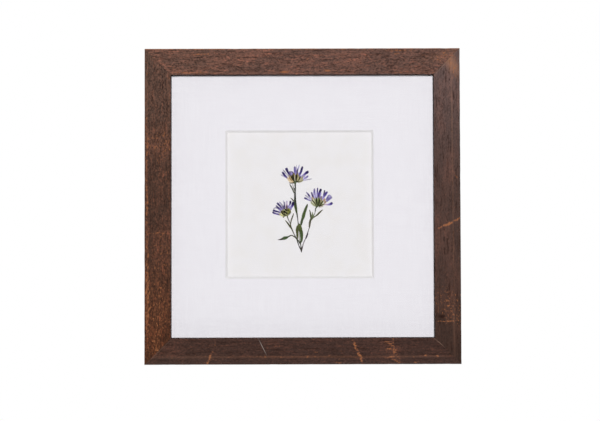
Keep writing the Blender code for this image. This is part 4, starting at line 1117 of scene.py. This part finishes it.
# How high each kind of blade lies above the sheet at its base, and how much higher the next one
STEM_LIFT = 0.04 * MM
LEAF_LIFT = 0.6 * MM
LEAF_STEP = 0.22 * MM
PETAL_LIFT = 0.34 * MM
PETAL_STEP = 0.05 * MM
PETAL_LAYERS = 5
FLORET_LIFT = 0.7 * MM
SCALE_LIFT = 0.75 * MM
SCALE_STEP = 0.018 * MM
DARK_SCALE_LIFT = 1.2 * MM


def spread(values, t):
    """The value at t from 0 to 1 along evenly spaced ones, eased from each to the next."""
    along = min(max(t, 0.0), 1.0) * (len(values) - 1)
    k = min(int(along), len(values) - 2)
    share = along - k
    return values[k] * (1 - share) + values[k + 1] * share


def route_point(points, t):
    """The point at t from 0 to 1 on a smooth curve through the given ones."""
    spans = len(points) - 1
    along = min(max(t, 0.0), 1.0) * spans
    k = min(int(along), spans - 1)
    t = along - k
    a = points[max(k - 1, 0)]
    b = points[k]
    c = points[k + 1]
    d = points[min(k + 2, spans)]
    return (b * 2 + (c - a) * t + (a * 2 - b * 5 + c * 4 - d) * t**2 + (b * 3 - a - c * 3 + d) * t**3) / 2


def strip(bm, route, along, around, shape, colour):
    """Bends a grid along a route: shape gives a grid point's offset aside and up, colour its tint.

    Both read t, from base to tip, and s, from -1 to 1 across. shape's third value moves the point along.
    """
    points = [sheet_place(pixel) for pixel in route]
    tint = bm.verts.layers.float_color["tint"]
    made = bmesh.ops.create_grid(bm, x_segments=along, y_segments=around, size=0.5, calc_uvs=True)["verts"]
    for vert in made:
        t = vert.co.x + 0.5
        s = vert.co.y * 2
        aside, up, ahead = shape(t, s)
        here = route_point(points, t)
        direction = (route_point(points, t + 0.01) - route_point(points, t - 0.01)).normalized()
        side = Vector((-direction.z, 0, direction.x))
        vert.co = here + side * aside + direction * ahead + Vector((0, -up, 0))
        vert[tint] = (*colour(t, s), 1)
    return made


def new_plant_mesh():
    """An empty mesh with the layers that dried tissue reads."""
    bm = bmesh.new()
    bm.loops.layers.uv.new("UVMap")
    bm.verts.layers.float_color.new("tint")
    return bm


def blade_colour(blade, deepen=1.0, lighten=1.0, stripe=0.3):
    """A function of (t, s) that runs from the blade's middle colours to its margin's.

    deepen darkens the middle, a dark tint most, lighten pales the margin, and stripe is the middle's share
    of the width.
    """
    middle = [Vector(linear(code)) for code in blade.middle]
    middle = [tint / deepen ** (1 - max(tint)) for tint in middle]
    margin = [Vector(linear(code)) * lighten for code in blade.margin or blade.middle]

    def colour(t, s):
        share = min(max((abs(s) - stripe) / 0.25, 0.0), 1.0)
        return spread(middle, t).lerp(spread(margin, t), share)

    return colour


def add_leaf(bm, blade, lift, rng):
    """A pressed leaf: creased along its midrib, with raised wavy margins."""
    half = [width * SHEET_PIXEL for width in blade.half]
    crease = 0.16 * MM
    ripple = 0.05 * MM
    phase = rng.uniform(0, math.tau)
    lean = rng.uniform(-0.08, 0.08) * MM

    def shape(t, s):
        width = spread(half, t)
        end = math.sqrt(max(0.0, min(1.0, min(t, 1 - t) / 0.04)))
        wave = ripple * math.sin(phase + t * 17 + s) * s * s
        up = lift * (1 - 0.55 * t) + crease * (abs(s) ** 1.3 - 0.5) * min(1, width / MM) + wave + lean * s
        ragged = 1 + 0.05 * math.sin(phase + t * 31) * math.sin(t * 13)
        return width * s * (0.25 + 0.75 * end) * ragged, up, 0

    count = 5 * (len(blade.route) - 1) + 8
    strip(bm, blade.route, count, 10, shape, blade_colour(blade))


def add_petal(bm, blade, lift, rng):
    """A pressed ray petal: pleated along its length, with a blunt tip cut into three small teeth."""
    half = [width * SHEET_PIXEL for width in blade.half]
    pleat = 0.05 * MM
    ripple = 0.04 * MM
    pleats = math.tau * 1.25
    phase = rng.uniform(0, math.tau)
    curl = rng.uniform(-0.05, 0.12) * MM
    tooth = rng.uniform(0.25, 0.5) * MM
    tip_lift = rng.uniform(0.13, 0.3) * MM

    def shape(t, s):
        rounding = math.sqrt(max(0.0, 1 - max(0.0, (t - 0.84) / 0.16) ** 2))
        width = spread(half, t) * (0.3 + 0.7 * rounding)
        up = lift * (1 - t) + tip_lift * t + pleat * math.cos(phase / 9 + s * pleats)
        up += curl * s * s * t + ripple * math.sin(phase + t * 9)
        ahead = tooth * (math.cos(s * pleats) - 0.4) * max(0.0, (t - 0.9) / 0.1)
        return width * s, up, ahead

    strip(bm, blade.route, 26, 12, shape, blade_colour(blade, 1.6, 1.35, 0.25))


def add_bract(bm, blade, lift, rng, deepen=3.0, lighten=1.1):
    """A scale of the cup: domed, keeled along its middle and pointed."""
    half = [width * SHEET_PIXEL for width in blade.half]
    dome = 0.22 * MM
    ridge = 0.06 * MM
    tuck = 0.25 * MM
    tilt = rng.uniform(-0.05, 0.05) * MM

    def shape(t, s):
        point = min(1.0, (1 - t) / 0.22) ** 0.7
        width = spread(half, t) * (0.12 + 0.88 * point)
        keel = ridge * math.exp(-(s / 0.25) ** 2)
        up = lift + dome * (1 - s * s) * math.sin(math.pi * min(1.0, 0.15 + 0.85 * t)) + keel + tilt * s
        return width * s, up - tuck * t * t, 0

    strip(bm, blade.route, 14, 16, shape, blade_colour(blade, deepen, lighten, 0.5))


def add_stem(bm, stem):
    """A pressed stem: a flattened, ribbed tube that tapers along its route."""
    half = [width * SHEET_PIXEL for width in stem.half]
    colours = [Vector(linear(code)) for code in stem.colours]
    flatness = settings("plant").stem_flatness
    ribs = 5
    swelling = 0.04 * MM

    def shape(t, s):
        angle = s * math.pi
        radius = spread(half, t) * (1 + 0.05 * math.cos(ribs * angle))
        node = swelling * math.sin(t * 43)
        up = STEM_LIFT + (1 + math.cos(angle)) * radius * flatness
        return math.sin(angle) * (radius + node), up, 0

    def colour(t, s):
        return spread(colours, t) * (1 + 0.1 * math.cos(ribs * s * math.pi))

    made = strip(bm, stem.route, 6 * (len(stem.route) - 1), 20, shape, colour)
    bmesh.ops.remove_doubles(bm, verts=made, dist=MERGE_DISTANCE / 2)
    bmesh.ops.holes_fill(bm, edges=[e for e in bm.edges if e.is_boundary], sides=0)


def dried_tissue(name, roughness, vein_strength, mottle, deepening):
    """Dried plant tissue: papery and matte, with fine lengthwise veins and uneven fading.

    deepening multiplies the tints, which the photograph blends with the paper round such thin blades.
    """
    plant = settings("plant")
    material, tree, shader = new_material(name)
    tint = add_node(tree, "ShaderNodeAttribute", output="Color", attribute_name="tint")
    coordinates = add_node(tree, "ShaderNodeTexCoord").node.outputs
    # UV's Y runs across a blade about 2 mm wide, so that many veins lie side by side in it
    veins = blotches(tree, coordinates["UV"], (1.2, plant.vein_spacing / (2 * MM), 1), 2)
    fading = blotches(tree, coordinates["Object"], (1.3 * MM,) * 3)
    grain = blotches(tree, coordinates["Object"], (0.25 * MM,) * 3, 3)
    paler = (1.5, 1.46, 1.4)
    darker = (0.62, 0.62, 0.6)
    inputs = {MIX_FACTOR: 1.0, MIX_A: tint, MIX_B: (*deepening, 1)}
    deep = add_node(tree, "ShaderNodeMix", inputs, MIX_RESULT, data_type="RGBA", blend_type="MULTIPLY")
    tone = lay_over(tree, deep, paler, fading, 0.5, 0.72, mottle, "MULTIPLY")
    tone = lay_over(tree, tone, darker, fading, 0.48, 0.3, mottle, "MULTIPLY")
    tone = lay_over(tree, tone, paler, veins, 0.5, 0.7, vein_strength, "MULTIPLY")
    height = add_node(tree, "ShaderNodeMath", {0: grain, 1: 0.4, 2: veins}, operation="MULTIPLY_ADD")
    finish(tree, shader, tone, roughness, height, 0.06 * MM, specular=0.3)
    return material


def thicken(obj, thickness):
    """Gives the blades their thickness, and shades them as one smooth surface."""
    solid = obj.modifiers.new("thickness", "SOLIDIFY")
    solid.thickness = thickness
    solid.offset = 0
    smooth_shading(obj, 50)


# The stage

def painted_floor():
    """Matt white floor paint: plain, with faint wide clouds where it has been walked on."""
    material, tree, shader = new_material("painted studio floor")
    coordinates = add_node(tree, "ShaderNodeTexCoord").node.outputs["Object"]
    cloud = blotches(tree, coordinates, (0.4, 0.4, 0.4), 3)
    worn = (0.96, 0.96, 0.96)
    tone = lay_over(tree, tuple(settings("stage").floor_colour), worn, cloud, mode="MULTIPLY")
    fill_inputs(tree, shader, {"Base Color": tone, "Roughness": 0.8})
    return material


def add_floor(scene):
    """The plain floor, far enough below to stay out of the photograph's view."""
    bm = bmesh.new()
    bmesh.ops.create_grid(bm, x_segments=1, y_segments=1, size=FLOOR_HALF)
    bmesh.ops.translate(bm, verts=bm.verts, vec=(0, 0, -settings("stage").floor_drop))
    mesh = bpy.data.meshes.new("floor")
    bm.to_mesh(mesh)
    bm.free()
    mesh.materials.append(painted_floor())
    floor = bpy.data.objects.new("floor", mesh)
    scene.collection.objects.link(floor)


def add_lamp(scene):
    """A soft lamp in front of the frame and a little above its middle, so the lip's shadow is short."""
    key = bpy.data.lights.new("key", "AREA")
    key.shape = "SQUARE"
    key.size = LAMP_SIDE
    key.energy = settings("stage").key_power
    lamp = bpy.data.objects.new("key", key)
    lamp.location = LAMP_PLACE
    lamp.rotation_euler = (-LAMP_PLACE).to_track_quat("-Z", "Y").to_euler()
    lamp.visible_camera = False
    # The lamp is polarised across, as for a picture behind glass, so that the glass doesn't mirror it
    lamp.visible_glossy = False
    lamp.visible_transmission = False
    scene.collection.objects.link(lamp)


def add_studio(scene):
    """The studio round the frame: white where the camera sees it, and brightest overhead and behind.

    It is dim in front, so that the lamp lights the mat evenly right up to the rails.
    """
    world = bpy.data.worlds.new("white studio")
    world.use_nodes = True
    tree = world.node_tree
    tree.nodes.clear()
    direction = add_node(tree, "ShaderNodeTexCoord").node.outputs["Generated"]
    parts = add_node(tree, "ShaderNodeSeparateXYZ", {"Vector": direction}).node.outputs
    light = settings("stage").fill_strength
    for axis, start, end, low, high in STUDIO_RAMPS:
        inputs = {"Value": parts[axis], "From Min": start, "From Max": end, "To Min": low, "To Max": high}
        share = add_node(tree, "ShaderNodeMapRange", inputs)
        light = add_node(tree, "ShaderNodeMath", {0: light, 1: share}, operation="MULTIPLY")
    studio = add_node(tree, "ShaderNodeBackground", {"Color": (1, 1, 1, 1), "Strength": light})
    white = add_node(tree, "ShaderNodeBackground", {"Color": (1, 1, 1, 1), "Strength": 1.0})
    seen = add_node(tree, "ShaderNodeLightPath").node.outputs["Is Camera Ray"]
    mixed = add_node(tree, "ShaderNodeMixShader", {0: seen, 1: studio, 2: white})
    add_node(tree, "ShaderNodeOutputWorld", {"Surface": mixed})
    scene.world = world


def add_camera(scene):
    """The camera a metre before the frame, a little below its middle and tilted up, as the photograph was."""
    camera = bpy.data.cameras.new("camera")
    camera.lens = settings("stage").lens
    camera.sensor_width = 36
    camera.clip_start = 0.05
    eye = bpy.data.objects.new("camera", camera)
    eye.matrix_world = (
        Matrix.Translation(CAMERA_PLACE)
        @ Matrix.Rotation(CAMERA_YAW, 4, "Z")
        @ Matrix.Rotation(math.pi / 2 + CAMERA_RISE, 4, "X")
        @ Matrix.Rotation(CAMERA_ROLL, 4, "Z")
    )
    scene.collection.objects.link(eye)
    scene.camera = eye


# Operators

class SetUpStage(bpy.types.Operator):
    """Places the pale floor, the soft studio light and the camera at the photograph's angle"""

    bl_idname = "pressed_flower.stage"
    bl_label = "Stage"

    def execute(self, context):
        context.scene.view_settings.view_transform = "Standard"
        for add in (add_floor, add_lamp, add_studio, add_camera):
            add(context.scene)
        return {"FINISHED"}


class FinishRails(bpy.types.Operator):
    """Makes the four rails with rubbed edges in stained wood"""

    bl_idname = "pressed_flower.rails"
    bl_label = "Rails"

    def execute(self, context):
        for quarter, side in enumerate(SIDES):
            node = f"rail_{side}"
            mesh = rail_mesh(quarter)
            rail = new_piece(f"{node}_worn", mesh, stained_wood(side, quarter), "stained_wood", node)
            smooth_shading(rail, 40)
        return {"FINISHED"}


class FinishPanels(bpy.types.Operator):
    """Finishes the glass, the window mat and the mount sheet"""

    bl_idname = "pressed_flower.panels"
    bl_label = "Glass, Mat and Sheet"

    def execute(self, context):
        finishes = {"glass_pane": float_glass, "window_mat": linen_mat_board, "mount_sheet": rag_paper}
        for node, make_material in finishes.items():
            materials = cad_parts[node].data.materials
            materials.clear()
            materials.append(make_material())
        return {"FINISHED"}


class FinishBack(bpy.types.Operator):
    """Makes the backing board, the tabs, the hanger with its nails and the wall pads"""

    bl_idname = "pressed_flower.back"
    bl_label = "Back"

    def execute(self, context):
        zinc = zinc_plate()
        softened_copy("backing_board", "backing_board_pressed", hardboard(), "hardboard", 0.3 * MM)
        steel_nodes = [f"tab_{number}" for number in range(1, 9)] + ["sawtooth_hanger"]
        for node in steel_nodes:
            softened_copy(node, f"{node}_plated", zinc, "zinc_steel", 0.12 * MM)
        rubber = soft_rubber()
        for side in ("left", "right"):
            make_wall_pad(side, rubber)
            make_hanger_nail(side, zinc)
        return {"FINISHED"}


class PressStems(bpy.types.Operator):
    """Makes the three pressed stems"""

    bl_idname = "pressed_flower.stems"
    bl_label = "Stems"

    def execute(self, context):
        material = dried_tissue("dried aster stem", 0.7, 0.35, 0.4, (0.56, 0.54, 0.54))
        for name, stem in STEMS.items():
            bm = new_plant_mesh()
            add_stem(bm, stem)
            bmesh.ops.recalc_face_normals(bm, faces=bm.faces)
            smooth_shading(new_piece(f"{name}_pressed", bm, material, "dried_green", name), 60)
        return {"FINISHED"}


class PressLeaves(bpy.types.Operator):
    """Makes the pressed leaves on and beside the stems"""

    bl_idname = "pressed_flower.leaves"
    bl_label = "Leaves"

    def execute(self, context):
        material = dried_tissue("dried aster leaf", 0.68, 0.5, 0.5, (0.79, 0.7, 0.73))
        rng = random.Random(11)
        for name, blades in LEAVES.items():
            bm = new_plant_mesh()
            for layer, blade in enumerate(blades):
                add_leaf(bm, blade, LEAF_LIFT + LEAF_STEP * layer, rng)
            piece = new_piece(f"{name}_pressed", bm, material, "dried_green", name)
            thicken(piece, settings("plant").leaf_thickness)
        return {"FINISHED"}


class PressHeads(bpy.types.Operator):
    """Makes each head's petals and its green cup"""

    bl_idname = "pressed_flower.heads"
    bl_label = "Flower Heads"

    def execute(self, context):
        plant = settings("plant")
        petal = dried_tissue("dried aster petal", 0.6, 0.35, 0.35, (1.0, 1.0, 1.0))
        scale = dried_tissue("dried aster bract", 0.65, 0.3, 0.35, (1.0, 1.0, 1.0))
        rng = random.Random(23)
        for name, petals in PETALS.items():
            bm = new_plant_mesh()
            for i, blade in enumerate(petals):
                add_petal(bm, blade, PETAL_LIFT + (i % PETAL_LAYERS) * PETAL_STEP, rng)
            rays = new_piece(f"rays_{name}_pressed", bm, petal, "dried_petal", f"rays_{name}")
            thicken(rays, plant.petal_thickness)
            bm = new_plant_mesh()
            for i, blade in enumerate(BRACTS[name]):
                add_bract(bm, blade, SCALE_LIFT + i * SCALE_STEP, rng)
            for blade in DARK_SCALES.get(name, ()):
                add_bract(bm, blade, DARK_SCALE_LIFT, rng, lighten=0.85)
            for blade in FLORETS[name]:
                add_bract(bm, blade, FLORET_LIFT, rng, deepen=1, lighten=1)
            cup = new_piece(f"cup_{name}_pressed", bm, scale, "dried_cup", f"cup_{name}")
            thicken(cup, plant.petal_thickness * 1.5)
        return {"FINISHED"}


class PressedFlowerPanel(bpy.types.Panel):
    """Lists the steps that dress the frame, and their settings"""

    bl_idname = "VIEW3D_PT_pressed_flower"
    bl_label = "Pressed Flower Frame"
    bl_space_type = "VIEW_3D"
    bl_region_type = "UI"
    bl_category = "Pressed Flower"

    def draw(self, context):
        for operator in OPERATORS:
            self.layout.operator(operator.bl_idname)
        for group, kind in GROUPS.items():
            box = self.layout.box()
            box.label(text=group.capitalize())
            for name in kind.__annotations__:
                box.prop(settings(group), name)


GROUPS = {
    "stage": StageSettings,
    "wood": WoodSettings,
    "panel": PanelSettings,
    "metal": MetalSettings,
    "plant": PlantSettings,
}
OPERATORS = (SetUpStage, FinishRails, FinishPanels, FinishBack, PressStems, PressLeaves, PressHeads)


def register():
    for kind in (*GROUPS.values(), *OPERATORS, PressedFlowerPanel):
        bpy.utils.register_class(kind)
    for group, kind in GROUPS.items():
        setattr(bpy.types.Scene, f"pressed_flower_{group}", PointerProperty(type=kind))


def unregister():
    for group in GROUPS:
        delattr(bpy.types.Scene, f"pressed_flower_{group}")
    for kind in reversed((*GROUPS.values(), *OPERATORS, PressedFlowerPanel)):
        bpy.utils.unregister_class(kind)


def main():
    register()
    bpy.ops.pressed_flower.stage()
    bpy.ops.pressed_flower.rails()
    bpy.ops.pressed_flower.panels()
    bpy.ops.pressed_flower.back()
    bpy.ops.pressed_flower.stems()
    bpy.ops.pressed_flower.leaves()
    bpy.ops.pressed_flower.heads()


if __name__ == "__main__":
    main()
